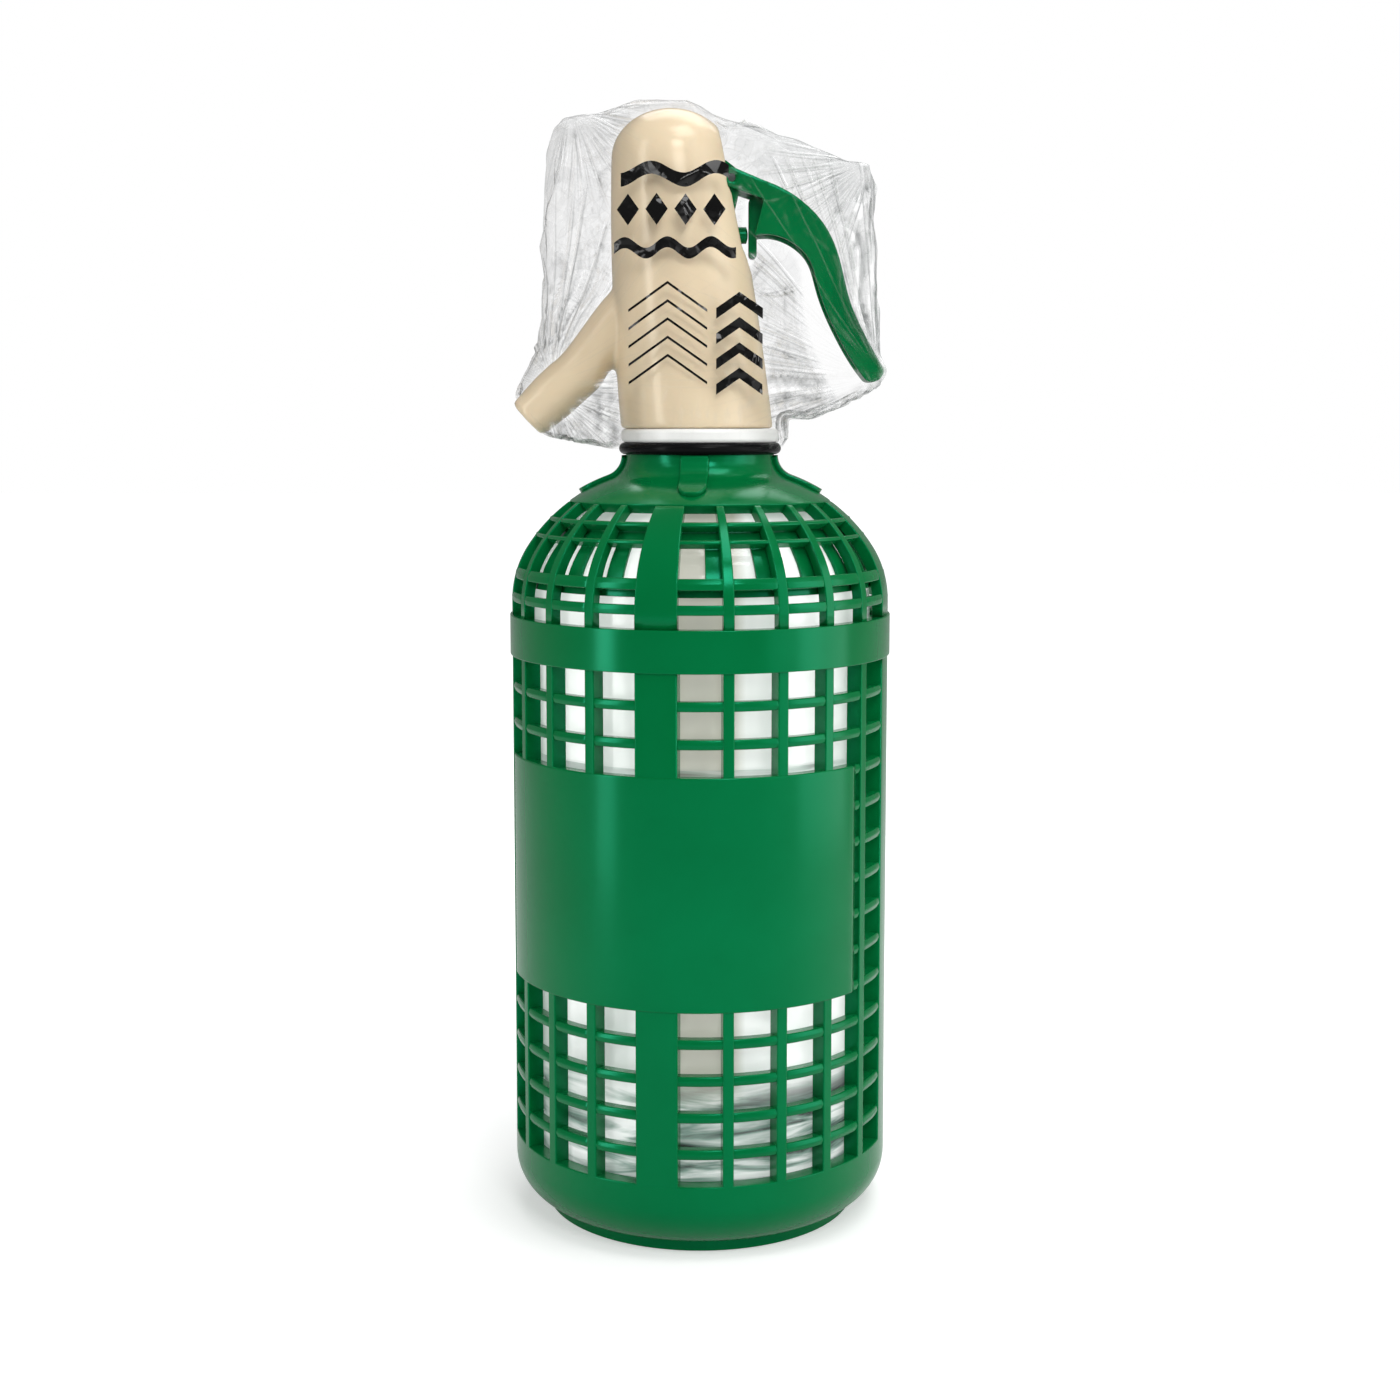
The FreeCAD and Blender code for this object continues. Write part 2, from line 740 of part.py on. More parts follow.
def make_split_ring(bearing):
    """Half of the ring that holds the glass bead up from below."""
    bore = neck_radius + shell_gap
    section = Outline(bore, spigot_top).line(split_ring_radius, spigot_top)
    section.line(split_ring_radius, bead_bottom).line(bore, bead_bottom)
    return turned(section, 180 - degrees(split_gap / split_ring_radius), bearing)


def make_mouth_gasket():
    return tube(bead_radius, tube_collar_radius + shell_gap, mouth_height, ceiling)


def make_dip_tube():
    """Tube from the valve down to the bottom of the bottle, with a collar in the mouth."""
    section = Outline(tube_bore_radius, tube_bottom)
    section.line(tube_radius, tube_bottom)
    section.line(tube_radius, mouth_height - tube_collar_depth)
    section.line(tube_collar_radius, mouth_height - tube_collar_depth)
    section.line(tube_collar_radius, ceiling)
    section.line(tube_radius, ceiling)
    section.line(tube_radius, ceiling + tube_socket_depth)
    section.line(tube_bore_radius, ceiling + tube_socket_depth)
    return turned(section)


# ---- Head ----

spout_along = Vector(cos(radians(spout_slope)), 0, sin(radians(spout_slope)))
spout_across = Vector(-spout_along.z, 0, spout_along.x)
spout_end = Vector(spout_tip_x, 0, head_base + spout_tip_height)


def oval(centre, reach, direction, half_width):
    """A closed oval wire round a centre, with its long radius along a direction."""
    wire = Part.Wire(Part.Ellipse(ORIGIN, reach, half_width).toShape())
    turn = FreeCAD.Rotation(direction, ALONG_Y, direction.cross(ALONG_Y), "XYZ")
    wire.Placement = FreeCAD.Placement(centre, turn)
    return wire


def along_spout(shape):
    """Lays a shape built on +Z along the spout, from its end face."""
    shape.rotate(ORIGIN, ALONG_Y, 90 - spout_slope)
    shape.translate(spout_end)
    return shape


def make_spout():
    """Tapered barrel with a rounded end, flared upwards where it leaves the head."""
    tip = Outline(0, 0)
    tip.line(spout_end_radius - spout_round, 0)
    tip.arc(spout_end_radius - spout_round, spout_round, spout_end_radius, spout_round)
    tip.line(spout_radius, spout_taper_length)
    middle = (spout_taper_length + spout_straight) / 2
    tip.line(spout_radius, middle)
    tip.line(0, middle)
    barrel = along_spout(turned(tip))
    root_centre = Vector(spout_root_x, 0, head_base + (spout_root_bottom + spout_root_top) / 2)
    root_reach = (spout_root_top - spout_root_bottom) / 2
    inside = Vector(-spout_root_x / 4, 0, -spout_root_x / 8)
    flare = Part.makeLoft([
        oval(spout_end + spout_along * middle, spout_radius, spout_across, spout_radius),
        oval(spout_end + spout_along * spout_straight, spout_radius, spout_across, spout_radius),
        oval(root_centre, root_reach, UP, spout_root_half_width),
        oval(root_centre + inside, root_reach, UP, spout_root_half_width),
    ], True, False)
    return barrel.fuse(flare)


def flat_reach(height):
    """How far the flat on the lever side stands from the bottle axis at a height."""
    slope = (flat_top_reach - flat_base_reach) / (head_crown_height - flat_base_height)
    return flat_base_reach + slope * (height - head_base - flat_base_height)


def make_head():
    """Moulded head: leaning body, domed top, spout, neck socket, valve bore and ducts."""
    stations = (
        (0, head_base_offset, head_base_radius),
        (head_waist_height, head_waist_offset, head_waist_radius),
        (head_crown_height, head_crown_offset, head_crown_radius),
    )
    rings = [Part.Wire(Part.makeCircle(radius, Vector(offset, 0, head_base + height)))
             for height, offset, radius in stations]
    body = Part.makeLoft(rings, True, False)
    stretch = FreeCAD.Matrix()
    stretch.scale(head_crown_radius, head_crown_radius, head_dome_height)
    top = Part.makeSphere(1, ORIGIN, UP, 0, 90, 360).transformGeometry(stretch)
    top.translate(Vector(head_crown_offset, 0, head_base + head_crown_height))
    head = body.fuse([top, make_spout()])

    outside = head_base_radius * 2
    waist_edge = head_waist_offset + head_waist_radius
    flat = Outline(outside, head_base + head_waist_height)
    flat.line(waist_edge, head_base + head_waist_height)
    flat.line(flat_base_reach, head_base + flat_base_height)
    flat.line(flat_reach(head_top), head_top)
    flat.line(outside, head_top)
    head = head.cut(slab(flat, 2 * outside))

    socket = Outline(0, head_base)
    socket.line(spigot_radius + shell_gap, head_base)
    socket.line(spigot_radius + shell_gap, head_base + socket_step_height)
    socket.line(bead_radius + upper_socket_clearance, head_base + socket_step_height)
    socket.line(bead_radius + upper_socket_clearance, ceiling)
    socket.line(tube_radius + running_gap, ceiling)
    socket.line(tube_radius + running_gap, ceiling + tube_socket_depth)
    socket.line(riser_radius, ceiling + tube_socket_depth)
    socket.line(riser_radius, valve_z)
    socket.line(0, valve_z)
    duct_length = (outlet_x - spout_tip_x) / cos(radians(spout_slope))
    duct = along_spout(Part.makeCylinder(spout_bore_radius, duct_length))
    duct_end_z = spout_end.z + duct_length * sin(radians(spout_slope))
    port = Part.makeCylinder(outlet_port_radius, valve_z - duct_end_z, Vector(outlet_x, 0, duct_end_z))
    valve = level_rod(valve_bore_radius, valve_bore_end, outside)
    pocket = block(pocket_floor_x, outside, pocket_half_width, valve_z - pocket_drop, valve_z + pocket_rise)
    head = head.cut([turned(socket), duct, port, valve, pocket, make_bracket_blank()])
    ear_pockets = []
    inner_side = bracket_width / 2
    outer_side = lever_root_width / 2 + 2 * shell_gap
    for side in (-outer_side, inner_side):
        ear_pockets.append(Part.makeCylinder(ear_radius + 2 * shell_gap, outer_side - inner_side,
                                             Vector(pivot_x, side, pivot_z), ALONG_Y))
    return head.cut(ear_pockets)


def make_bracket_blank():
    """The bracket's outer shape: a nose round the pin and a foot let into the head's flat."""
    top = pivot_z + bracket_top_rise
    bottom = pivot_z - bracket_foot_drop
    nose = pin_radius + lever_wall
    low = radians(bracket_nose_low_angle)
    high = radians(bracket_nose_high_angle)
    shape = Outline(flat_reach(bottom) - bracket_depth, bottom)
    shape.line(flat_reach(bottom) + shell_gap, bottom)
    shape.line(pivot_x + nose * cos(low), pivot_z - nose * sin(low))
    shape.arc(pivot_x, pivot_z, pivot_x + nose * cos(high), pivot_z + nose * sin(high))
    shape.line(flat_reach(top) + shell_gap, top)
    shape.line(flat_reach(top) - bracket_depth, top)
    return slab(shape, bracket_width)


def make_bracket():
    """Bracket that carries the lever's pin, on the back of the head."""
    bore = Part.makeCylinder(pin_radius, bracket_width, Vector(pivot_x, -bracket_width / 2, pivot_z), ALONG_Y)
    return make_bracket_blank().cut(bore)


def make_pivot_pin():
    length = lever_root_width - 2 * pin_recess
    return Part.makeCylinder(pin_radius, length, Vector(pivot_x, -length / 2, pivot_z), ALONG_Y)


# ---- Valve ----

def level_turned(section):
    """Turns an outline of (radius, x) about the valve's level axis."""
    shape = turned(section)
    shape.rotate(ORIGIN, ALONG_Y, 90)
    shape.translate(Vector(0, 0, valve_z))
    return shape


def make_spool():
    """Spool that links the riser to the outlet when it is pushed in."""
    groove = spool_radius - seal_groove_depth
    half_seal = seal_width / 2
    waist_start = inner_seal_x + half_seal + spool_land
    waist_end = outer_seal_x - half_seal - spool_land
    section = Outline(0, spool_end_x)
    section.line(spool_radius, spool_end_x)
    section.line(spool_radius, inner_seal_x - half_seal)
    section.line(groove, inner_seal_x - half_seal)
    section.line(groove, inner_seal_x + half_seal)
    section.line(spool_radius, inner_seal_x + half_seal)
    section.line(spool_radius, waist_start)
    section.line(spool_waist_radius, waist_start)
    section.line(spool_waist_radius, waist_end)
    section.line(spool_radius, waist_end)
    section.line(spool_radius, outer_seal_x - half_seal)
    section.line(groove, outer_seal_x - half_seal)
    section.line(groove, outer_seal_x + half_seal)
    section.line(spool_radius, outer_seal_x + half_seal)
    section.line(spool_radius, spool_shoulder_x)
    section.line(spool_stem_radius, spool_shoulder_x)
    section.line(spool_stem_radius, spool_stem_end_x)
    section.line(0, spool_stem_end_x)
    return level_turned(section)


def make_seal(middle_x):
    """Rubber ring in a groove of the spool."""
    inner = spool_radius - seal_groove_depth
    outer = valve_bore_radius - running_gap
    half = seal_width / 2
    bevel = seal_groove_depth / 3
    section = Outline(inner, middle_x - half)
    section.line(outer - bevel, middle_x - half)
    section.line(outer, middle_x - half + bevel)
    section.line(outer, middle_x + half - bevel)
    section.line(outer - bevel, middle_x + half)
    section.line(inner, middle_x + half)
    return level_turned(section)


def make_knob():
    """Domed push knob, pressed onto the spool's stem."""
    dome_x = knob_x - knob_dome_radius
    edge_x = dome_x + sqrt(knob_dome_radius ** 2 - knob_radius ** 2)
    section = Outline(spool_stem_radius, spool_shoulder_x)
    section.line(knob_radius, spool_shoulder_x)
    section.line(knob_radius, edge_x)
    section.arc(0, dome_x, 0, knob_x)
    section.line(0, spool_stem_end_x)
    section.line(spool_stem_radius, spool_stem_end_x)
    return level_turned(section)


def make_bush():
    """Bush at the mouth of the valve bore, which guides the knob."""
    section = Outline(knob_radius + running_gap, spool_shoulder_x)
    section.line(valve_bore_radius, spool_shoulder_x)
    section.line(valve_bore_radius, pocket_floor_x)
    section.line(knob_radius + running_gap, pocket_floor_x)
    return level_turned(section)


def make_spring():
    """Square-wire spring behind the spool."""
    length = spool_end_x - valve_bore_end
    rise = length - spring_wire
    helix = Part.makeHelix(rise / spring_turns, rise, spring_radius)
    half = spring_wire / 2
    wire_section = Part.makePolygon([
        Vector(spring_radius - half, 0, -half), Vector(spring_radius + half, 0, -half),
        Vector(spring_radius + half, 0, half), Vector(spring_radius - half, 0, half),
        Vector(spring_radius - half, 0, -half)])
    spring = Part.Wire(helix).makePipeShell([wire_section], True, True)
    spring.translate(Vector(0, 0, valve_bore_end + half))
    spring.rotate(ORIGIN, ALONG_Y, 90)
    spring.translate(Vector(0, 0, valve_z))
    return spring


# ---- Lever ----

def from_pivot(*points):
    """Places of points given as reach and drop from the pivot."""
    return [(pivot_x + reach, pivot_z - drop) for reach, drop in points]


def lever_outer_points(inset=0.0):
    """The lever's outer edge, from its arm to its toe, or a line set in from it."""
    points = ((arm_reach, arm_drop), (bend_reach, bend_drop), (elbow_reach, elbow_drop),
              (knee_reach, knee_drop), (shin_reach, shin_drop), (ankle_reach, ankle_drop),
              (toe_reach, toe_drop))
    lean = radians(lever_lean_angle)
    return from_pivot(*[(reach - inset * sin(lean), drop + inset * cos(lean)) for reach, drop in points])


def width_wedge(inset):
    """Plan shape that narrows the lever from its pivot to its toe."""
    root = lever_root_width / 2 - inset
    toe = lever_tip_width / 2 - inset
    back = pivot_x - 2 * ear_radius
    front = pivot_x + toe_reach + 4 * toe_round
    slope = (toe - root) / toe_reach
    corners = [Vector(back, root, 0), Vector(pivot_x, root, 0),
               Vector(front, root + slope * (front - pivot_x), 0)]
    mirrored = [Vector(corner.x, -corner.y, 0) for corner in reversed(corners)]
    face = Part.Face(Part.makePolygon(corners + mirrored + corners[:1]))
    face.translate(Vector(0, 0, pivot_z - 2 * toe_drop))
    return face.extrude(Vector(0, 0, 3 * toe_drop))


def make_lever():
    """Channel lever: two cheeks joined by a web along the outer edge, with a push rib between them."""
    top_x = ear_radius * sin(radians(lever_top_angle))
    top_z = ear_radius * cos(radians(lever_top_angle))
    cheek = Outline(*from_pivot((top_x, -top_z))[0])
    cheek.line(*from_pivot((root_reach, root_drop))[0])
    cheek.curve(*lever_outer_points())
    cheek.through(from_pivot((toe_reach - toe_round, toe_drop + toe_sag))[0],
                  from_pivot((sole_reach, sole_drop))[0])
    cheek.curve(*from_pivot((inner_ankle_reach, inner_ankle_drop), (inner_shin_reach, inner_shin_drop),
                            (inner_elbow_reach, inner_elbow_drop), (inner_arm_reach, inner_arm_drop),
                            (heel_reach, heel_drop)))
    cheek.line(*from_pivot((notch_reach, notch_drop))[0])
    cheek.line(*from_pivot((0, ear_radius))[0])
    cheek.arc(pivot_x, pivot_z, pivot_x - ear_radius, pivot_z)
    cheek.arc(pivot_x, pivot_z, *from_pivot((top_x, -top_z))[0])
    solid = slab(cheek, lever_root_width * 2).common(width_wedge(0))

    channel = Outline(*from_pivot((-2 * ear_radius, -2 * ear_radius))[0])
    channel.line(*from_pivot((root_reach / 2, -2 * ear_radius))[0])
    channel.line(*from_pivot((root_reach / 2, root_drop + lever_web / 2))[0])
    channel.line(*lever_outer_points(lever_web)[0])
    channel.curve(*lever_outer_points(lever_web)[1:-1])
    channel.line(*from_pivot((sole_reach - toe_round, sole_drop - toe_round))[0])
    channel.line(*from_pivot((inner_ankle_reach, sole_drop))[0])
    channel.line(*from_pivot((-2 * ear_radius, heel_drop))[0])
    hollow = slab(channel, lever_root_width * 2).common(width_wedge(lever_wall))
    lever = solid.cut(hollow)

    nose_reach = knob_x + push_gap - pivot_x
    half = nose_thickness / 2
    rib = Outline(*from_pivot((nose_reach, nose_drop - half))[0])
    rib.arc(pivot_x + nose_reach + half, pivot_z - nose_drop + half,
            pivot_x + nose_reach + half, pivot_z - nose_drop)
    rib.arc(pivot_x + nose_reach + half, pivot_z - nose_drop + half,
            pivot_x + nose_reach + nose_thickness, pivot_z - nose_drop + half)
    rib.line(*from_pivot((nose_reach + nose_thickness, heel_drop - nose_thickness))[0])
    rib.line(*from_pivot((bend_reach, bend_drop + lever_web))[0])
    rib.line(*from_pivot((arm_reach, arm_drop + lever_web / 2))[0])
    rib.line(*from_pivot((root_reach, root_drop + lever_web / 2))[0])
    rib.line(*from_pivot((nose_reach, notch_drop))[0])
    lever = lever.fuse(slab(rib, nose_width))
    bore = Part.makeCylinder(pin_radius + running_gap, 2 * lever_root_width,
                             Vector(pivot_x, -lever_root_width, pivot_z), ALONG_Y)
    return lever.cut(bore)


# ---- Film hood ----

def hood_front(inset):
    """The hood's front outline below its ridge, from its gathered mouth up both sides."""
    left = (hood_left_hem, hood_left_tip, hood_left_flank, hood_left_waist, hood_left_chest,
            hood_left_brow, hood_left_corner)
    right = (hood_right_hem, hood_right_sole, hood_right_tip, hood_right_flank, hood_right_brow,
             hood_right_corner)
    crest = head_base + 2 * hood_ridge_top[1] - hood_ridge_right[1]
    side = Outline(-hood_mouth_reach, hood_mouth_height)
    for x, height in left:
        side.line(x, head_base + height)
    side.line(hood_ridge_top[0], crest)
    side.line(hood_ridge_brow[0], crest)
    for x, height in reversed(right):
        side.line(x, head_base + height)
    side.line(hood_mouth_reach, head_base + hood_gather_height)
    side.line(hood_mouth_reach, hood_mouth_height)
    face = side.face()
    if inset:
        return Part.Face(face.OuterWire.makeOffset2D(-inset))
    return face


def hood_form(inset):
    """Where the hood's front outline, its pointed plan and its ridged end view overlap."""
    deep = 2 * hood_half_depth
    front = hood_front(inset)
    front.translate(Vector(0, -deep, 0))
    front = front.extrude(Vector(0, 2 * deep, 0))

    left_end = Vector(-hood_lens_reach + 2 * inset, 0, 0)
    right_end = Vector(hood_lens_reach - 2 * inset, 0, 0)
    side = ALONG_Y * (hood_half_depth - inset)
    arcs = [Part.Arc(left_end, side, right_end).toShape(), Part.Arc(right_end, -side, left_end).toShape()]
    plan = Part.Face(Part.Wire(arcs))
    low = hood_mouth_height - hood_half_depth
    plan.translate(Vector(0, 0, low))
    plan = plan.extrude(Vector(0, 0, head_top + hood_half_depth - low))

    half = hood_half_depth + hood_section_margin - inset
    foot = head_base + head_waist_height
    ridge = (hood_ridge_left, hood_ridge_top, hood_ridge_brow, hood_ridge_right)
    ends = []
    for start, stop in zip(ridge, ridge[1:]):
        run = Vector(stop[0] - start[0], 0, stop[1] - start[1])
        rise = hood_ridge_top[1] - head_waist_height - inset
        lift = start[1] - hood_ridge_top[1]
        base = Vector(start[0], 0, foot + lift)
        drop = UP * (foot - low)
        side = ALONG_Y * half
        arch = Part.Ellipse(ORIGIN, rise, half)
        edge = Part.ArcOfEllipse(arch, -pi / 2, pi / 2).toShape()
        edge.Placement = FreeCAD.Placement(base, FreeCAD.Rotation(UP, ALONG_Y, UP.cross(ALONG_Y), "XYZ"))
        walls = Part.makePolygon([base + side, base + side - drop, base - side - drop, base - side])
        ends.append(Part.Face(Part.Wire(Part.sortEdges([edge] + walls.Edges)[0])).extrude(run))
    return front.common(plan).common(ends[0].fuse(ends[1:]))


def make_film_hood():
    """Thin film bag over the head: open at its gathered mouth and round the spout."""
    hood = hood_form(0).cut(hood_form(film_thickness))
    clear = spout_radius + hood_mouth_clearance
    spout_hole = along_spout(Part.makeCylinder(clear, 2 * spout_straight, Vector(0, 0, -spout_straight / 2)))
    mouth = Part.makeCylinder(ring_radius + hood_mouth_clearance, 2 * collar_height,
                              Vector(0, 0, hood_mouth_height - collar_height))
    return hood.cut([spout_hole, mouth])


PIECES = {
    "basket": make_basket,
    "foot_plate": make_foot_plate,
    "dome": make_dome,
    "shoulder_spacer": make_spacer,
    "bottle": make_bottle,
    "neck_ring": make_neck_ring,
    "collar_nut": make_collar_nut,
    "split_ring_front": lambda: make_split_ring(0),
    "split_ring_back": lambda: make_split_ring(180),
    "mouth_gasket": make_mouth_gasket,
    "dip_tube": make_dip_tube,
    "head": make_head,
    "lever_bracket": make_bracket,
    "pivot_pin": make_pivot_pin,
    "valve_spool": make_spool,
    "spool_seal_inner": lambda: make_seal(inner_seal_x),
    "spool_seal_outer": lambda: make_seal(outer_seal_x),
    "push_knob": make_knob,
    "valve_bush": make_bush,
    "return_spring": make_spring,
    "lever": make_lever,
    "film_hood": make_film_hood,
}

os.makedirs("parts", exist_ok=True)
for name, make in PIECES.items():
    shape = make()
    shape.exportStep("parts/" + name + ".step")
    print(name, round(shape.Volume), shape.isValid(), len(shape.Solids))
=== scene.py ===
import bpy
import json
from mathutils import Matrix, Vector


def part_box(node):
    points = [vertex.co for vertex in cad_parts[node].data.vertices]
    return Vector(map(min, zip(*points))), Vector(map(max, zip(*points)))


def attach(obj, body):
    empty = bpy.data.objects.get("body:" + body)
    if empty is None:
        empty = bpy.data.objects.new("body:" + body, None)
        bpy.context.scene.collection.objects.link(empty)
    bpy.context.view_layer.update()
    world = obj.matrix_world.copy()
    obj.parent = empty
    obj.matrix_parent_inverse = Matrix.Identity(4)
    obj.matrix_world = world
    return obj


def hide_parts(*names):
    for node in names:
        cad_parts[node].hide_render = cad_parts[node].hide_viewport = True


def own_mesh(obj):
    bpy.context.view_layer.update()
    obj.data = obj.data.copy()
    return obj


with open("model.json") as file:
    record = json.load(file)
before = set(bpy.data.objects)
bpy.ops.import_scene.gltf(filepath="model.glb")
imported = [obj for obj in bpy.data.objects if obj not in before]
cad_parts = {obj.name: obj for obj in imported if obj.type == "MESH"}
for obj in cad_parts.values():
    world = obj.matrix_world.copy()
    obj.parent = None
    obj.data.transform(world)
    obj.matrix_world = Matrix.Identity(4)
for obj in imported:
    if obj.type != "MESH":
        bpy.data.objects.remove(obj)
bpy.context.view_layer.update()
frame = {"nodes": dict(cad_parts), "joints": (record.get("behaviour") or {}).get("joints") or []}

# %% [markdown]
# # A soda siphon in its cage
# The frame holds the siphon's solid pieces in metres, with +Z up, the spout to -X
# and the lever to +X. This notebook dresses them: a moulded lattice, thick glass,
# glossy plastic and a crinkled wrapping film.

# %% Setup
import bmesh
import bpy
import json
import math
import numpy as np
from mathutils import Matrix, Vector
from mathutils.bvhtree import BVHTree

MM = 0.001
SEED = 11
scene = bpy.context.scene

# %% [markdown]
# ## Sizes
# The shapes drawn here repeat the frame's own measures, in millimetres and degrees.
# Heights that the frame already knows are read from its boxes rather than written
# again. A bearing turns about the bottle's axis, from the front towards the lever.

# %% Sizes
CAGE, CAGE_IN = 55.0, 50.2             # outer and inner face of the cage's wall
FIRST = 22.0                           # where the lowest windows begin
ROWS, PITCH, WINDOW = 14, 10.32, 7.5   # the basket's rows of windows
RIB = PITCH - WINDOW
BAND_LOW, BAND_TOP = 163.66, 175.46    # the dome's skirt
WIDE, THIN = 12.4, 3.2                 # angles that the uprights take up
COLUMN = (90 - WIDE - 4 * THIN) / 5    # and that a window takes up
START_BEARING = -12.6                  # the wide upright at the front
PANEL = (3, 9)                         # rows that the label panel covers
DOME_WINDOWS = (3.9, 4.0, 9.0, 3.6, 4.2)
DOME_RIBS = (2.8, 3.1, 1.0, 1.1)
SLEEVE = 21.6                          # radius of the dome's neck
COLLAR = 4.0                           # height of the white collar
ring_low, ring_high = (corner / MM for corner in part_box("neck_ring"))
HEAD_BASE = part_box("collar_nut")[0].z / MM + COLLAR
print("head base", round(HEAD_BASE, 2), "neck ring", round(ring_low.z, 2), round(ring_high.z, 2))

# %% [markdown]
# ## Building blocks
# A loft joins rings of points into a closed skin. A lathe turns a closed outline of
# (radius, height) about the bottle's axis. Bevel modifiers could round such shapes
# later, but rounding the corners of an outline first gives every moulded edge the
# same soft, bright line and keeps the faces few.

# %% Building blocks
WELD = 1e-7          # metres, for points that are one
NEAR = 1e-6          # millimetres, for an edge too short to round
STRAIGHT = 0.05      # radians, for a corner too flat to round
HALF_EDGE = 0.49     # share of an edge that one rounding may take
LATHE_STEPS = 144


def placed(name, mesh):
    """A new object for a mesh, in the scene."""
    made = bpy.data.objects.new(name, mesh)
    scene.collection.objects.link(made)
    return made


def welded(mesh, gap, outwards):
    """Merges points closer than the gap and, if asked, turns the faces outwards."""
    work = bmesh.new()
    work.from_mesh(mesh)
    bmesh.ops.remove_doubles(work, verts=work.verts, dist=gap)
    if outwards:
        bmesh.ops.recalc_face_normals(work, faces=work.faces)
    work.to_mesh(mesh)
    work.free()
    return mesh


def shade_smooth(mesh):
    mesh.polygons.foreach_set("use_smooth", [True] * len(mesh.polygons))


def loft(name, rings, closed_ends=True):
    """Joins rings of equal length in order; caps both ends."""
    count = len(rings[0])
    faces = []
    for r in range(len(rings) - 1):
        for k in range(count):
            beside = (k + 1) % count
            faces.append((r * count + k, r * count + beside, (r + 1) * count + beside, (r + 1) * count + k))
    if closed_ends:
        faces.append(tuple(range(count))[::-1])
        faces.append(tuple((len(rings) - 1) * count + k for k in range(count)))
    mesh = bpy.data.meshes.new(name)
    mesh.from_pydata([[c * MM for c in point] for ring in rings for point in ring], [], faces)
    shade_smooth(welded(mesh, WELD, True))
    return placed(name, mesh)


def rounded(points, radius, steps=3):
    """Rounds the corners of a closed outline; radius is one number or one for each point."""
    out = []
    for k, point in enumerate(points):
        r = radius[k] if hasattr(radius, "__len__") else radius
        here = Vector(point)
        before = Vector(points[k - 1]) - here
        after = Vector(points[(k + 1) % len(points)]) - here
        short = r <= 0 or min(before.length, after.length) < NEAR
        if short or abs(before.angle(after) - math.pi) < STRAIGHT:
            out.append(tuple(here))
            continue
        back = min(r / math.tan(before.angle(after) / 2), before.length * HALF_EDGE, after.length * HALF_EDGE)
        first, last = here + before.normalized() * back, here + after.normalized() * back
        for s in range(steps + 1):
            t = s / steps
            out.append(tuple((1 - t) ** 2 * first + 2 * t * (1 - t) * here + t ** 2 * last))
    return out


def lathe(name, outline, steps=LATHE_STEPS):
    """Turns a closed outline of (radius, height) about the axis."""
    rings = []
    for s in range(steps):
        a = 2 * math.pi * s / steps
        rings.append([(r * math.sin(a), -r * math.cos(a), z) for r, z in outline])
    return loft(name, rings + rings[:1], closed_ends=False)


def join(name, objects):
    """Joins objects into the first of them and renames it."""
    with bpy.context.temp_override(active_object=objects[0], selected_editable_objects=objects):
        bpy.ops.object.join()
    objects[0].name = objects[0].data.name = name
    return objects[0]


print("a lathe has", LATHE_STEPS, "steps")

# %% [markdown]
# ## Finishing a piece
# A modifier is live until its result is made a plain mesh. Each finished piece gets one
# material, hides the node of the frame that it replaces, and rides on one moving body.
# On the lattice, normals are weighed by face size: flat faces stay flat and only bevels
# shade round.

# %% Finishing a piece
FLATNESS = 90        # how strongly the larger faces steer the normals


def live_mesh(made):
    """What an object's modifiers make of it, as a new plain mesh."""
    graph = bpy.context.evaluated_depsgraph_get()
    return bpy.data.meshes.new_from_object(made.evaluated_get(graph), depsgraph=graph)


def applied(made):
    """Turns an object's live modifiers into its plain mesh."""
    mesh = live_mesh(made)
    made.modifiers.clear()
    made.data = mesh
    return made


def crisp(made):
    """Weighs normals by face size, so that only the bevels shade round."""
    even = made.modifiers.new("even normals", "WEIGHTED_NORMAL")
    even.mode = "FACE_AREA"
    even.weight = FLATNESS
    return applied(made)


def triangles(made):
    made.data.calc_loop_triangles()
    return len(made.data.loop_triangles)


def paint(made, coat):
    made.data.materials.clear()
    made.data.materials.append(coat)
    print(made.name, triangles(made), coat.name)


def dress(made, coat, body, node):
    """One material on every face, then the frame's node is hidden and the piece rides on its body."""
    paint(made, coat)
    made.data.polygons.foreach_set("material_index", [0] * len(made.data.polygons))
    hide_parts(node)
    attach(made, body)


# %% [markdown]
# ## Node helpers
# Materials and Geometry Nodes are both trees of nodes. Each could be wired line by
# line, but a few helpers make a tree read like the formula it stands for: one sets or
# links sockets by name, and the others add the nodes that come up most.


# %% Node helpers
def give(tree, node, values):
    """Sets each named socket of a node to a value, or links it to another socket."""
    for label, value in values.items():
        if isinstance(value, bpy.types.NodeSocket):
            tree.links.new(value, node.inputs[label])
        else:
            node.inputs[label].default_value = value


def add(tree, kind, values, **settings):
    """A new node: first its settings, then its sockets."""
    made = tree.nodes.new(kind)
    for key, value in settings.items():
        setattr(made, key, value)
    give(tree, made, values)
    return made


def formula(tree):
    """A helper that chains math nodes: calc('MULTIPLY', a, b)."""
    def calc(operation, *terms):
        return add(tree, "ShaderNodeMath", dict(enumerate(terms)), operation=operation).outputs[0]
    return calc


def remap(tree, value, low, high, to_low=0.0, to_high=1.0):
    """Stretches low..high to to_low..to_high, and holds what lies beyond."""
    return add(tree, "ShaderNodeMapRange", {"Value": value, "From Min": low, "From Max": high,
                                            "To Min": to_low, "To Max": to_high}).outputs["Result"]


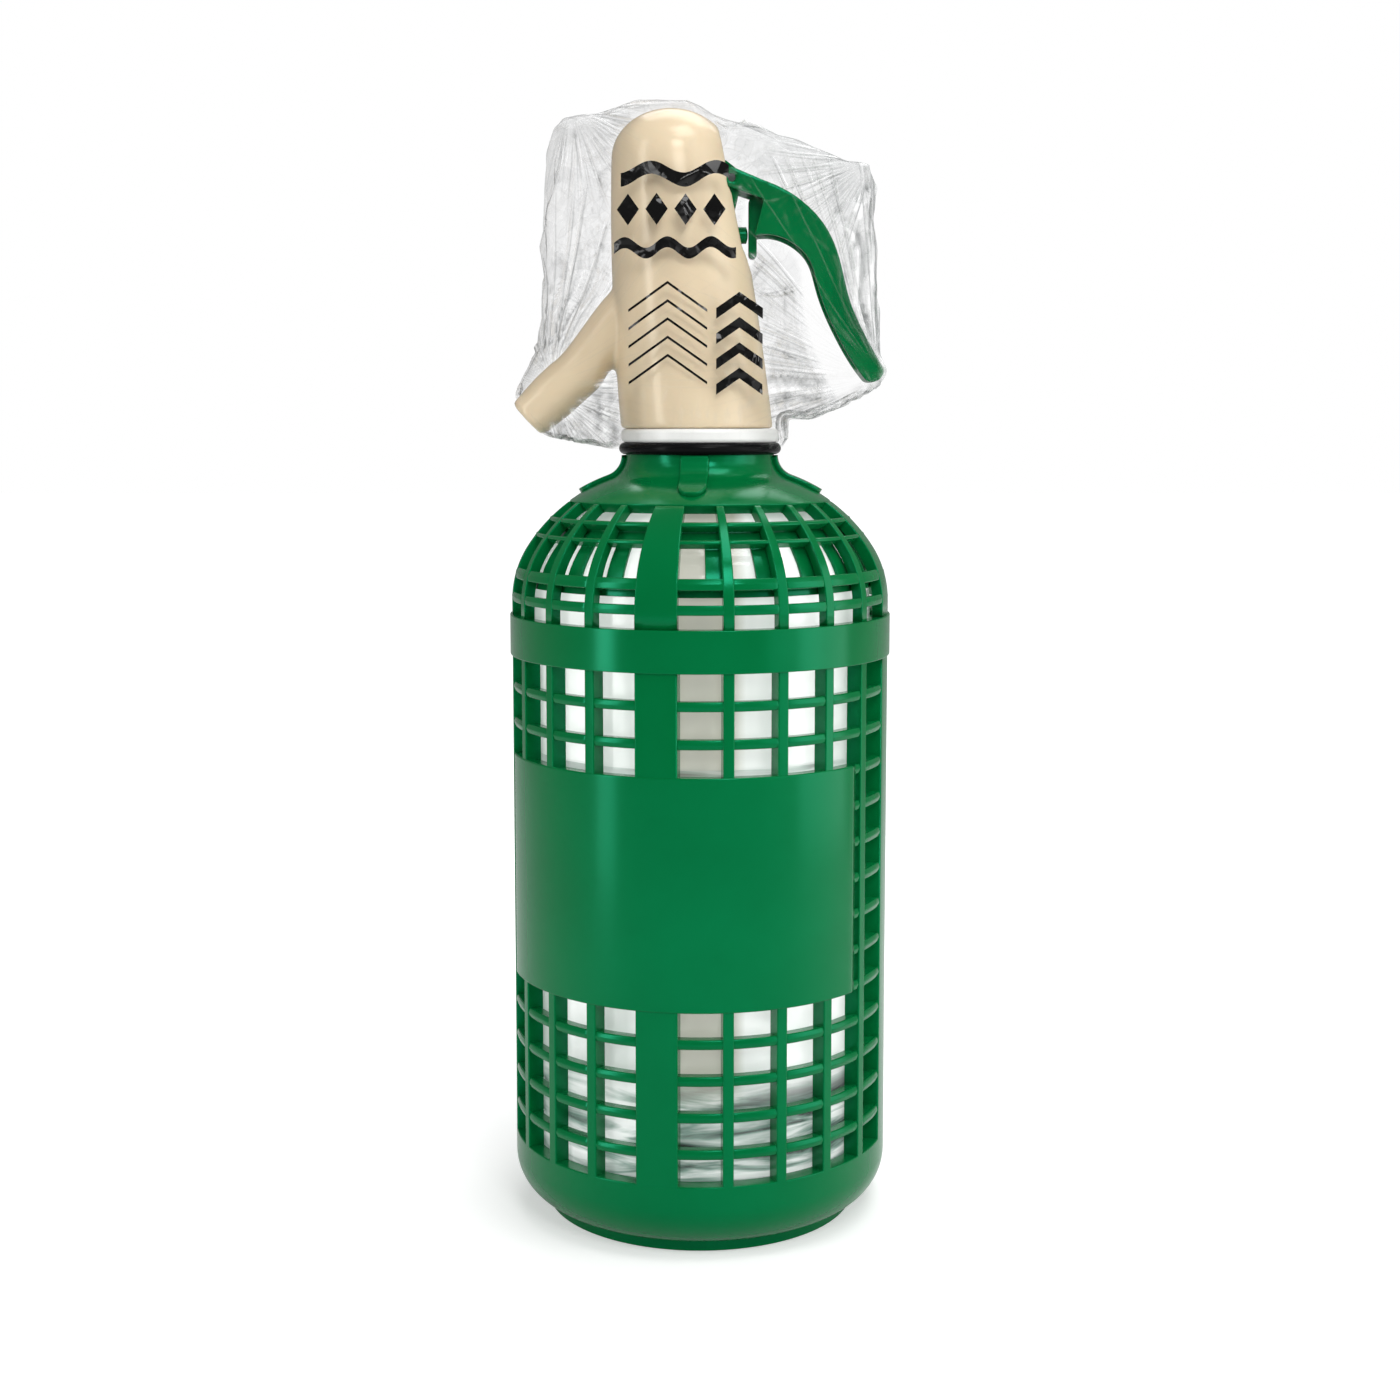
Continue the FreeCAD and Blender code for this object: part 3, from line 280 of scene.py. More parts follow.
def blend(tree, factor, first, second):
    """Mixes two colours, each a socket or (red, green, blue)."""
    first, second = ((*c, 1) if isinstance(c, tuple) else c for c in (first, second))
    return add(tree, "ShaderNodeMix", {"Factor": factor, 6: first, 7: second}, data_type="RGBA").outputs[2]


def noise(tree, vector, scale, detail=2.0, distortion=0.0):
    return add(tree, "ShaderNodeTexNoise", {"Vector": vector, "Scale": scale, "Detail": detail,
                                            "Distortion": distortion}).outputs["Fac"]


def stretched(tree, vector, scale, shift=(0, 0, 0)):
    return add(tree, "ShaderNodeMapping", {"Vector": vector, "Scale": scale,
                                           "Location": shift}).outputs["Vector"]


def place_in(tree):
    """Object coordinates, which move with the piece."""
    return add(tree, "ShaderNodeTexCoord", {}).outputs["Object"]


def axes(tree, vector):
    return add(tree, "ShaderNodeSeparateXYZ", {"Vector": vector}).outputs


def relief(tree, height, strength, distance):
    return add(tree, "ShaderNodeBump", {"Height": height, "Strength": strength,
                                        "Distance": distance}).outputs["Normal"]


def use(tree, what, **values):
    """Places a group in a tree with its own values."""
    return add(tree, "ShaderNodeGroup", values, node_tree=what).outputs


def group(name, inputs, outputs):
    """A shader group: float inputs with their defaults, outputs with their kinds."""
    tree = bpy.data.node_groups.new(name, "ShaderNodeTree")
    for label, value in inputs.items():
        tree.interface.new_socket(label, in_out="INPUT", socket_type="NodeSocketFloat").default_value = value
    for label, kind in outputs.items():
        tree.interface.new_socket(label, in_out="OUTPUT", socket_type="NodeSocket" + kind)
    return tree, tree.nodes.new("NodeGroupInput").outputs, tree.nodes.new("NodeGroupOutput")


def material(name):
    made = bpy.data.materials.new(name)
    made.use_nodes = True
    return made, made.node_tree, made.node_tree.nodes["Principled BSDF"]


print("helpers ready")

# %% [markdown]
# ## Shader groups
# Two effects are shared by the plastics, so each is a group of nodes, built once. One
# gives the slight unevenness of moulded plastic. The other gives a sparse speckle of
# dust and fine scratches that breaks up the gloss. Image textures could do the same,
# but noise in the piece's own coordinates needs no unwrapping.

# %% Shader groups
SPECK_FROM, SPECK_FULL = 0.55, 0.8

moulded, given, result = group("Moulded Skin", {"Scale": 60.0, "Depth": 0.1},
                               {"Normal": "Vector", "Mottle": "Float"})
mottle = noise(moulded, place_in(moulded), given["Scale"])
give(moulded, result, {"Normal": relief(moulded, mottle, given["Depth"], MM), "Mottle": mottle})

wear, given, result = group("Fine Wear", {"Scale": 400.0, "Amount": 0.1}, {"Mask": "Float"})
specks = remap(wear, noise(wear, place_in(wear), given["Scale"], 4.0), SPECK_FROM, SPECK_FULL)
give(wear, result, {"Mask": formula(wear)("MULTIPLY", specks, given["Amount"])})
print("groups", [g.name for g in bpy.data.node_groups])

# %% [markdown]
# ## Plastics, rubber and steel
# The cage and lever are a deep, saturated gloss green, the head a softer cream, the
# collar white. Each plastic mixes two close colours by the mottle, and the wear mask
# lifts its roughness a little. The green's highlights take a green tint, because they
# would look chalky in white. The pin and the spring are steel in a near-black colour,
# painted shade, so they stay dark between the lever's cheeks.


# %% Plastics, rubber and steel
def plastic(name, dark, light, roughness, scale, depth, worn, tint=(1, 1, 1), subsurface=0.0, gloss=0.5):
    made, tree, shader = material(name)
    skin = use(tree, moulded, Scale=scale, Depth=depth)
    mask = use(tree, wear, Amount=worn)["Mask"]
    give(tree, shader, {"Base Color": blend(tree, skin["Mottle"], dark, light), "Normal": skin["Normal"],
                        "Roughness": formula(tree)("ADD", mask, roughness),
                        "Subsurface Weight": subsurface, "Subsurface Scale": 2 * MM,
                        "Specular IOR Level": gloss, "Specular Tint": (*tint, 1)})
    return made


green = plastic("green plastic", (0.0003, 0.124, 0.028), (0.0006, 0.158, 0.041), roughness=0.19, scale=45,
                depth=0.04, worn=0.01, tint=(0.06, 1.0, 0.6))
cream = plastic("cream plastic", (0.72, 0.58, 0.395), (0.785, 0.655, 0.46), roughness=0.22, scale=55,
                depth=0.06, worn=0.03, tint=(1.0, 0.93, 0.8), subsurface=0.05)
white = plastic("white plastic", (0.82, 0.82, 0.80), (0.90, 0.90, 0.88), roughness=0.3, scale=60,
                depth=0.05, worn=0.05)
rubber = plastic("black rubber", (0.003, 0.003, 0.0035), (0.007, 0.007, 0.0075), roughness=0.22, scale=90,
                 depth=0.06, worn=0.1, gloss=0.05)

# Painted shade: the steel's colour is near black, so the pin and the spring read as the shade between the
# lever's cheeks.
steel, tree, shader = material("steel in painted shade")
brushed = remap(tree, noise(tree, place_in(tree), 900.0, 3.0), 0, 1, 0.24, 0.42)
give(tree, shader, {"Metallic": 1.0, "Roughness": brushed, "Base Color": (0.09, 0.11, 0.10, 1)})
print("materials", [m.name for m in bpy.data.materials])

# %% [markdown]
# ## Glass
# The bottle is thick pressed glass. Clear glass alone would show only what stands
# round it, so its look is painted in as a colour: soft upright streaks of painted
# reflection, a warm column along the middle that paints the tube seen inside, dark
# swirls low down that paint how the thick base bends what is behind, and a patchy line
# of the same painted swirls across it at half height. It is painted darker where it
# turns away, as a painted reflection. A faint painted glow stands for the light that
# such glass gathers.

# %% Glass
COLUMN_HALF, COLUMN_CORE = 0.0125, 0.009     # metres from the axis: the column's edge and full tone
SWIRL_TOP, SWIRL_FULL = 0.051, 0.041         # heights in metres
LINE_HEIGHT, LINE_HALF = 0.1345, 0.0022

glass, tree, shader = material("glass with painted light")
calc = formula(tree)
place = place_in(tree)
parts = axes(tree, place)
# Painted reflection: grey upright streaks in the colour; the same noise also bumps the surface a little.
streak = noise(tree, stretched(tree, place, (1.0, 1.0, 0.16), (0.013, 0.0, 0.0)), 38.0, 3.0, 0.5)
painted_reflection_streaks = blend(tree, remap(tree, streak, 0.38, 0.56), (0.73, 0.76, 0.74), (1.0, 1.0, 1.0))
# Painted view of the tube inside: a warm column along the middle of the colour.
column = remap(tree, calc("ABSOLUTE", parts["X"]), COLUMN_HALF, COLUMN_CORE, 0.0, 0.85)
with_painted_tube_view = blend(tree, column, painted_reflection_streaks, (0.54, 0.53, 0.46))

# Painted refraction: dark, green-grey and white swirls low down, and a patchy line of them at half height.
swirl = noise(tree, stretched(tree, place, (0.35, 0.35, 2.6)), 60.0, 4.0, 1.2)
painted_refraction_swirls = add(tree, "ShaderNodeValToRGB", {"Fac": swirl})
stops = painted_refraction_swirls.color_ramp.elements
stops[0].position, stops[0].color = 0.40, (0.05, 0.06, 0.055, 1)
stops[1].position, stops[1].color = 0.60, (1, 1, 1, 1)
stops.new(0.49).color = (0.26, 0.38, 0.33, 1)
painted_swirl_line = calc("MULTIPLY", calc("COMPARE", parts["Z"], LINE_HEIGHT, LINE_HALF), streak)
painted_refraction_mask = calc("MAXIMUM", remap(tree, parts["Z"], SWIRL_TOP, SWIRL_FULL), painted_swirl_line)
low = blend(tree, painted_refraction_mask, with_painted_tube_view, painted_refraction_swirls.outputs["Color"])

# Painted reflection: the colour turns darker where the glass turns away.
slant = add(tree, "ShaderNodeLayerWeight", {"Blend": 0.5}).outputs["Facing"]
glass_colour_with_painted_light = blend(tree, remap(tree, slant, 0.45, 0.85, 0.0, 0.75), low, (0.20, 0.24, 0.22))
# The colour also glows faintly: a painted glow, though the glass is no lamp.
give(tree, shader, {"Base Color": glass_colour_with_painted_light, "Emission Color": glass_colour_with_painted_light, "Emission Strength": 0.28,
                    "Normal": relief(tree, streak, 0.3, MM),
                    "Transmission Weight": 0.45, "Roughness": 0.12, "IOR": 1.45})

clear_tube, tree, shader = material("clear tube")
give(tree, shader, {"Roughness": remap(tree, noise(tree, place_in(tree), 120.0), 0, 1, 0.1, 0.3),
                    "Base Color": (0.85, 0.88, 0.88, 1), "Transmission Weight": 0.6})
print("nodes in the glass", len(glass.node_tree.nodes))

# %% [markdown]
# ## Columns round the bottle
# The lattice is one rule: five windows in each quarter, between wide bars, row after
# row. An array modifier could repeat one row, but not leave out the places behind the
# label panel. So a geometry tree puts a piece at each bearing and row, leaves those
# places out, and turns each copy about the axis. The same tree serves the uprights, the
# cross ribs, the dome and the slatted spacer.

# %% Columns round the bottle
SOCKETS = {"Piece": "Geometry", "Rows": "Int", "Row Pitch": "Float", "Quarters": "Int", "Columns": "Int",
           "Quarter Angle": "Float", "Column Angle": "Float", "First Bearing": "Float",
           "Skip From Row": "Int", "Skip To Row": "Int", "Skip Bearing": "Float", "Skip Half Angle": "Float",
           "Material": "Material"}
USUAL = {"Rows": 1, "Row Pitch": 0.0, "Quarters": 4, "Columns": 1, "Quarter Angle": math.radians(90),
         "Column Angle": 0.0, "First Bearing": 0.0, "Skip From Row": 0, "Skip To Row": 0,
         "Skip Bearing": 0.0, "Skip Half Angle": 0.0}


def columns_tree():
    tree = bpy.data.node_groups.new("Columns Round", "GeometryNodeTree")
    tree.interface.new_socket("Geometry", in_out="OUTPUT", socket_type="NodeSocketGeometry")
    for label, kind in SOCKETS.items():
        tree.interface.new_socket(label, in_out="INPUT", socket_type="NodeSocket" + kind)
    given = tree.nodes.new("NodeGroupInput").outputs
    calc = formula(tree)

    index = add(tree, "GeometryNodeInputIndex", {}).outputs[0]
    ring = calc("MULTIPLY", given["Quarters"], given["Columns"])
    row = calc("FLOOR", calc("DIVIDE", calc("ADD", index, 0.5), ring))
    in_ring = calc("SUBTRACT", index, calc("MULTIPLY", row, ring))
    quarter = calc("FLOOR", calc("DIVIDE", calc("ADD", in_ring, 0.5), given["Columns"]))
    column = calc("SUBTRACT", in_ring, calc("MULTIPLY", quarter, given["Columns"]))
    turned = calc("ADD", calc("MULTIPLY", quarter, given["Quarter Angle"]),
                  calc("MULTIPLY", column, given["Column Angle"]))
    bearing = calc("ADD", given["First Bearing"], turned)
    drop = calc("MULTIPLY", calc("MULTIPLY", row, given["Row Pitch"]), -1.0)

    off = calc("ABSOLUTE", calc("WRAP", calc("SUBTRACT", bearing, given["Skip Bearing"]), math.pi, -math.pi))
    hidden = calc("LESS_THAN", off, given["Skip Half Angle"])
    for side, end in (("GREATER_THAN", "Skip From Row"), ("LESS_THAN", "Skip To Row")):
        hidden = calc("MULTIPLY", hidden, calc(side, row, calc("SUBTRACT", given[end], 0.5)))

    spot = add(tree, "ShaderNodeCombineXYZ", {"Z": drop}).outputs[0]
    total = calc("MULTIPLY", ring, given["Rows"])
    points = add(tree, "GeometryNodePoints", {"Count": total, "Position": spot})
    turn = add(tree, "ShaderNodeCombineXYZ", {"Z": bearing}).outputs[0]
    euler = add(tree, "FunctionNodeEulerToRotation", {0: turn})
    copies = add(tree, "GeometryNodeInstanceOnPoints",
                 {"Points": points.outputs[0], "Instance": given["Piece"], "Rotation": euler.outputs[0],
                  "Selection": calc("LESS_THAN", hidden, 0.5)})
    real = add(tree, "GeometryNodeRealizeInstances", {0: copies.outputs[0]})
    coated = add(tree, "GeometryNodeSetMaterial",
                 {"Geometry": real.outputs[0], "Material": given["Material"]})
    give(tree, tree.nodes.new("NodeGroupOutput"), {0: coated.outputs[0]})
    return tree


COLUMNS = columns_tree()


def repeat(piece, coat, inputs):
    """Runs the tree on a piece and returns the result as a plain mesh object."""
    values = {**USUAL, **inputs, "Material": coat}
    live = piece.modifiers.new("Columns", "NODES")
    live.node_group = COLUMNS
    for item in COLUMNS.interface.items_tree:
        if item.in_out == "INPUT" and item.name in values:
            live[item.identifier] = values[item.name]
    made = placed(piece.name + "_set", live_mesh(piece))
    bpy.data.objects.remove(piece)
    return made


print("nodes in the tree", len(COLUMNS.nodes))

# %% [markdown]
# ## The shoulder's line
# Above the straight wall the cage bends in over a small curve and then a flatter one,
# up to the cap. Every piece of the dome follows this line, so it is kept as two arcs
# and asked for points, rather than drawn anew for each piece.

# %% The shoulder's line
SHOULDER = 179.46                             # where the straight wall ends
SHOULDER_ROUND, CROWN_ROUND = 29.0, 48.2      # radii of the two curves
FLATTER = math.radians(32.8)                  # where the flatter one takes over
SHOULDER_STEP, CROWN_STEP = 2.1872, 1.6       # degrees between points
LINE_END = 80
SHOULDER_CENTRE = (CAGE - SHOULDER_ROUND, SHOULDER)
CROWN_CENTRE = (SHOULDER_CENTRE[0] - (CROWN_ROUND - SHOULDER_ROUND) * math.cos(FLATTER),
                SHOULDER_CENTRE[1] - (CROWN_ROUND - SHOULDER_ROUND) * math.sin(FLATTER))


def on_arc(centre, radius, a):
    """Radius, height and outward normal at an angle on an arc."""
    return centre[0] + radius * math.cos(a), centre[1] + radius * math.sin(a), math.cos(a), math.sin(a)


def shoulder_line(top, foot):
    """(radius, height, normal) from the foot up the wall and over the shoulder."""
    line = [(CAGE, foot, 1.0, 0.0)]
    angle = 0.0
    while math.radians(angle) <= FLATTER:
        line.append(on_arc(SHOULDER_CENTRE, SHOULDER_ROUND, math.radians(angle)))
        angle += SHOULDER_STEP
    while angle <= LINE_END:
        point = on_arc(CROWN_CENTRE, CROWN_ROUND, math.radians(angle))
        if point[1] > top:
            break
        line.append(point)
        angle += CROWN_STEP
    return line


def shoulder_at(z):
    """Radius and normal of the outer face at a height."""
    if z <= SHOULDER:
        return CAGE, 1.0, 0.0
    centre, radius = SHOULDER_CENTRE, SHOULDER_ROUND
    if z - SHOULDER > SHOULDER_ROUND * math.sin(FLATTER):
        centre, radius = CROWN_CENTRE, CROWN_ROUND
    nz = (z - centre[1]) / radius
    nx = math.sqrt(1 - nz * nz)
    return centre[0] + radius * nx, nx, nz


print("radius 20 mm up the shoulder", round(shoulder_at(SHOULDER + 20)[0], 2))

# %% [markdown]
# ## Ribs and bars
# An upright is a rounded bar that follows a line up the cage. A cross rib has a pillow
# face that sits a little behind the uprights and dips at both ends, where it meets
# them. Cutting windows out of a solid wall would leave every edge sharp, so each bar is
# lofted from its own rounded outline.

# %% Ribs and bars
FACET = 3              # degrees of a bar's face between two of its points
DRAFT = 0.96           # a moulded bar is this much narrower at its back
BACK_EDGE = 0.6        # and its edges there are this much sharper
RIB_DRAFT, RIB_PILLOW, RIB_BACK_EDGE = 0.9, 0.8, 0.3
RIB_OVERLAP = 0.45     # share of an upright that a rib runs into
RIB_STATIONS = ((-1, 0.55), (-0.86, 0.12), (-0.72, 0), (-0.4, 0), (0, 0), (0.4, 0), (0.72, 0), (0.86, 0.12),
                (1, 0.55))    # share of the way to its end, and how far its face dips there


def upright(name, angle, line, depth, edge):
    """A bar of a constant angle up a line of (radius, height, normal x, normal z)."""
    half = math.radians(angle / 2)
    span = max(1, round(angle / FACET))
    rings = []
    for r, z, nx, nz in line:
        w = r * math.sin(half)
        front = [(w * (2 * k / span - 1), 0.0) for k in range(1, span)]
        outline = [(-w, 0.0)] + front + [(w, 0.0), (w * DRAFT, depth), (-w * DRAFT, depth)]
        radii = [edge] + [0.0] * len(front) + [edge, edge * BACK_EDGE, edge * BACK_EDGE]
        ring = []
        for x, d in rounded(outline, radii):
            reach = math.sqrt(max(r * r - x * x, 0)) if d < depth / 2 else r * math.cos(half)
            ring.append((x, -(reach - d * nx), z - d * nz))
        rings.append(ring)
    return loft(name, rings)


def cross_rib(low, high, depth, recess, pillow, edge):
    """A rib between two uprights at the front, drawn between two heights of the face."""
    middle = (low + high) / 2
    r, nx, nz = shoulder_at(middle)
    half = (high - low) / 2 / nx
    end = math.radians(COLUMN / 2 + RIB_OVERLAP * THIN)
    profile = rounded([(-half, 0.0), (0.0, -pillow), (half, 0.0),
                       (half * RIB_DRAFT, depth), (-half * RIB_DRAFT, depth)],
                      [edge, half * RIB_PILLOW, edge, RIB_BACK_EDGE, RIB_BACK_EDGE])
    rings = []
    for share, dip in RIB_STATIONS:
        ring = []
        for along, d in profile:
            sink = d + (recess + dip) if d < depth / 2 else d
            radius = r - sink * nx - along * nz
            ring.append((radius * math.sin(share * end), -radius * math.cos(share * end),
                         middle - sink * nz + along * nx))
        rings.append(ring)
    return loft("rib", rings)


COLUMN_STEP = math.radians(COLUMN + THIN)
THIN_SET = {"Columns": 4, "Column Angle": COLUMN_STEP,
            "First Bearing": math.radians(START_BEARING + WIDE / 2 + COLUMN + THIN / 2)}
WIDE_SET = {"First Bearing": math.radians(START_BEARING)}
RIB_SET = {"Columns": 5, "Column Angle": COLUMN_STEP,
           "First Bearing": math.radians(START_BEARING + WIDE / 2 + COLUMN / 2)}


def uprights(line, depth, edge):
    """The four thin bars and the wide one of every quarter."""
    return [repeat(upright("thin", THIN, line, depth, edge), green, THIN_SET),
            repeat(upright("wide", WIDE, line, depth, edge), green, WIDE_SET)]


print("a window takes up", round(COLUMN, 2), "degrees")

# %% [markdown]
# ## Basket
# The lower half of the cage. Its heel, its rim and the smooth label panel are turned or
# swept, since they are plain round forms; everything between them is repeated.

# %% Basket
BAR_DEPTH, BAR_EDGE = 4.7, 0.4
RIB_DEPTH, RIB_RECESS, PILLOW, RIB_EDGE = 3.9, 0.45, 0.38, 0.55
FOOT_SINK, FOOT_LAP, FOOT_BEND, TOP_LAP = 0.5, 2.0, 0.2, 0.3     # where the bars run into heel and skirt
SKIP_HALF = 60                                  # degrees of ribs left out beside the panel's middle
HEEL_ROUND, HEEL_CENTRE = 13.0, (42.0, 15.3)
HEEL_ANGLES = range(-70, 5, 5)                  # degrees round the heel's curve
HEEL_LIP, HEEL_LOW, HEEL_TOP, HEEL_SLOPE, HEEL_FLOOR = 45.6, 2.9, 5.3, 48.7, 8.3
RIM, RIM_LOW, RIM_TOP, LIP_EDGE = 53.2, BAND_LOW - 0.05, 173.9, 0.3
PANEL_HALF, PANEL_FACE, PANEL_BACK, PANEL_EDGE = 65, 55.3, 52.7, 0.5
PANEL_STEPS, PANEL_FADE, SOFT = 64, 0.45, 0.2

wall = [(CAGE - FOOT_SINK, FIRST - FOOT_LAP, 1.0, 0.0), (CAGE, FIRST - FOOT_BEND, 1.0, 0.0),
        (CAGE, BAND_LOW + TOP_LAP, 1.0, 0.0)]
bars = uprights(wall, BAR_DEPTH, BAR_EDGE)
rib_top = BAND_LOW - WINDOW
rib = cross_rib(rib_top - RIB, rib_top, RIB_DEPTH, RIB_RECESS, PILLOW, RIB_EDGE)
ribs = repeat(rib, green, {**RIB_SET, "Rows": ROWS - 1, "Row Pitch": PITCH * MM,
                           "Skip From Row": PANEL[0], "Skip To Row": PANEL[1] - 1,
                           "Skip Half Angle": math.radians(SKIP_HALF),
                           "Skip Bearing": math.radians(START_BEARING)})

curve = [on_arc(HEEL_CENTRE, HEEL_ROUND, math.radians(angle))[:2] for angle in HEEL_ANGLES]
heel = [(HEEL_LIP, HEEL_LOW)] + curve + [(CAGE, FIRST), (CAGE_IN, FIRST), (CAGE_IN, HEEL_FLOOR),
                                         (HEEL_SLOPE, HEEL_TOP), (HEEL_LIP, HEEL_TOP)]
radii = [LIP_EDGE] + [0] * len(curve) + [BAR_EDGE, BAR_EDGE, 0, 0, LIP_EDGE]
heel_ring = lathe("heel", rounded(heel, radii))
rim_box = [(CAGE_IN, RIM_LOW), (RIM, RIM_LOW), (RIM, RIM_TOP), (CAGE_IN, RIM_TOP)]
rim = lathe("rim", rounded(rim_box, BAR_EDGE))

panel_high = BAND_LOW - PANEL[0] * PITCH + RIB
panel_low = panel_high - (PANEL[1] - PANEL[0]) * PITCH - RIB
outline = rounded([(PANEL_BACK, panel_low), (PANEL_FACE, panel_low), (PANEL_FACE, panel_high),
                   (PANEL_BACK, panel_high)], [SOFT, PANEL_EDGE, PANEL_EDGE, SOFT], 4)
rings = []
for s in range(PANEL_STEPS + 1):
    a = math.radians(START_BEARING - PANEL_HALF + 2 * PANEL_HALF * s / PANEL_STEPS)
    fade = PANEL_FADE if s in (0, PANEL_STEPS) else 0.0
    faded = [(r - fade * (r > PANEL_FACE - PANEL_EDGE), z) for r, z in outline]
    rings.append([(r * math.sin(a), -r * math.cos(a), z) for r, z in faded])
basket = join("basket_body", bars + [ribs, heel_ring, rim, loft("panel", rings)])
dress(crisp(basket), green, "bottle_and_head", "basket")

# %% [markdown]
# ## Dome
# The upper half of the cage. Its uprights bend over the shoulder, and its windows sit
# in five rows of different heights, so the ribs between them are drawn one by one and
# then repeated. The cap runs from the top windows to the neck in one turned outline
# with a hollow fillet.

# %% Dome
DOME_BAR_DEPTH, DOME_BAR_EDGE = 3.1, 0.35
DOME_RIB = (2.8, 0.2, 0.25, 0.4)       # depth, recess, pillow and edge
CAP_LAP, SKIRT_LAP = 1.2, 0.8          # how far the bars run into the cap and the skirt
TOP_SINK = 0.5                         # how far their last point goes under the cap
CAP_WALL, CAP_EDGE, FILLET = 3.2, 0.3, 7.4
CROWN_STEPS, FILLET_STEPS = 10, 8
SKIRT, SKIRT_IN, SKIRT_CHAMFER, SHELF, SHELF_LOW = 55.6, 53.5, 0.1, 51.8, 173.97

gaps, z = [], BAND_TOP
for window, above in zip(DOME_WINDOWS, DOME_RIBS):
    low = z + window
    z += window + above
    gaps.append((low, z))
dome_top = z + DOME_WINDOWS[-1]
line = shoulder_line(dome_top + CAP_LAP, BAND_TOP - SKIRT_LAP)
r, z, nx, nz = line[-1]
line[-1] = (r - TOP_SINK * nx, z - TOP_SINK * nz, nx, nz)
bars = uprights(line, DOME_BAR_DEPTH, DOME_BAR_EDGE)
ribs = [repeat(cross_rib(low, high, *DOME_RIB), green, RIB_SET) for low, high in gaps]

fillet_x = SLEEVE + FILLET
fillet_z = CROWN_CENTRE[1] + math.sqrt((CROWN_ROUND + FILLET) ** 2 - (fillet_x - CROWN_CENTRE[0]) ** 2)
FILLET_CENTRE = (fillet_x, fillet_z)
# The crown's angle where it meets the fillet
TURN = math.atan2(fillet_z - CROWN_CENTRE[1], fillet_x - CROWN_CENTRE[0])


def cap_line(inset):
    """The cap's line from the top windows to the neck, set in from its face."""
    nx, nz = shoulder_at(dome_top)[1:]
    first = math.atan2(nz, nx)
    out = []
    for s in range(CROWN_STEPS + 1):
        out.append(on_arc(CROWN_CENTRE, CROWN_ROUND - inset, first + (TURN - first) * s / CROWN_STEPS)[:2])
    for s in range(1, FILLET_STEPS + 1):
        out.append(on_arc(FILLET_CENTRE, FILLET + inset, math.pi + TURN * (1 - s / FILLET_STEPS))[:2])
    return out + [(SLEEVE - inset, ring_low.z)]


outer, inner = cap_line(0), cap_line(CAP_WALL)
ends = [CAP_EDGE] + [0] * (len(outer) - 2) + [CAP_EDGE]
cap = lathe("cap", rounded(outer + inner[::-1], ends * 2))
skirt = [(SKIRT_IN, BAND_LOW), (SKIRT, BAND_LOW), (SKIRT, BAND_TOP - SKIRT_CHAMFER), (CAGE, BAND_TOP),
         (SHELF, BAND_TOP), (SHELF, SHELF_LOW), (SKIRT_IN, SHELF_LOW)]
skirt_ring = lathe("skirt", rounded(skirt, [0.2, 0.35, 0.3, 0.2, 0.2, 0, 0]))
print("windows end at", round(dome_top, 2), "and the fillet at", round(math.degrees(TURN), 1), "degrees")

# %% [markdown]
# ## Tongues on the dome
# Four raised strips run from the neck down onto the shoulder and end in a half round.
# Each is a loft of low rounded outlines along the cap's own line, so it lies on the
# curve with no gap, and its width shrinks over the last few millimetres.

# %% Tongues on the dome
TONGUE_HALF, TONGUE_END, TONGUE_LIFT, TONGUE_SINK, TONGUE_EDGE = 4.25, 35.0, 1.3, 1.0, 0.5
TONGUE_DRAFT, TIP = 0.94, 0.004
TONGUE_BEARING = -4.0


def tongue(bearing):
    """A raised strip from the neck down onto the shoulder, with a round end."""
    path = [(SLEEVE, ring_low.z - TONGUE_SINK, 1.0, 0.0)]
    for s in range(FILLET_STEPS, 0, -1):
        r, z, nx, nz = on_arc(FILLET_CENTRE, FILLET, TURN + math.pi - TURN * s / FILLET_STEPS)
        path.append((r, z, -nx, -nz))
    a = TURN
    while on_arc(CROWN_CENTRE, CROWN_ROUND, a)[0] < TONGUE_END:
        path.append(on_arc(CROWN_CENTRE, CROWN_ROUND, a))
        a -= math.radians(CROWN_STEP / 2)
    rings = []
    for r, z, nx, nz in path:
        left = (TONGUE_END - r) / TONGUE_HALF
        w = TONGUE_HALF * math.sqrt(max(1 - max(1 - left, 0) ** 2, TIP))
        outline = rounded([(-w, -TONGUE_SINK), (-w * TONGUE_DRAFT, TONGUE_LIFT),
                           (w * TONGUE_DRAFT, TONGUE_LIFT), (w, -TONGUE_SINK)],
                          [0, TONGUE_EDGE, TONGUE_EDGE, 0])
        rings.append([(x, -(math.sqrt(max(r * r - x * x, 1)) + h * nx), z + h * nz) for x, h in outline])
    made = loft("tongue", rings)
    made.data.transform(Matrix.Rotation(math.radians(bearing), 4, "Z"))
    return made


tongues = [tongue(TONGUE_BEARING + 90 * k) for k in range(4)]
dome = join("dome_body", bars + ribs + [cap, skirt_ring] + tongues)
dress(crisp(dome), green, "bottle_and_head", "dome")

# %% [markdown]
# ## Spacer behind the dome
# A ring of upright slats between two hoops keeps the glass off the dome, and shows
# through the tall windows. The slats repeat by the same tree; the hoops are turned.

# %% Spacer
SLATS, SLAT_ANGLE, SLAT_BEARING, SLAT_EDGE = 22, 6.0, 4.6, 0.25
SPACER_FACE, SPACER_WALL = 3.7, 1.1          # both inwards from the dome's face
SLAT_FOOT, SLAT_STEP, SLAT_POINTS = 3.2, 2.25, 9
HOOP, UPPER_HOOP, HOOP_EDGE, HOOP_STEPS = 4, 16, 0.15, 120
spacer_low = SHOULDER + 5.0


def inside_dome(z, inset):
    """(radius, height, normal) of the dome's face at a height, set in."""
    r, nx, nz = shoulder_at(z)
    return r - inset * nx, z - inset * nz, nx, nz


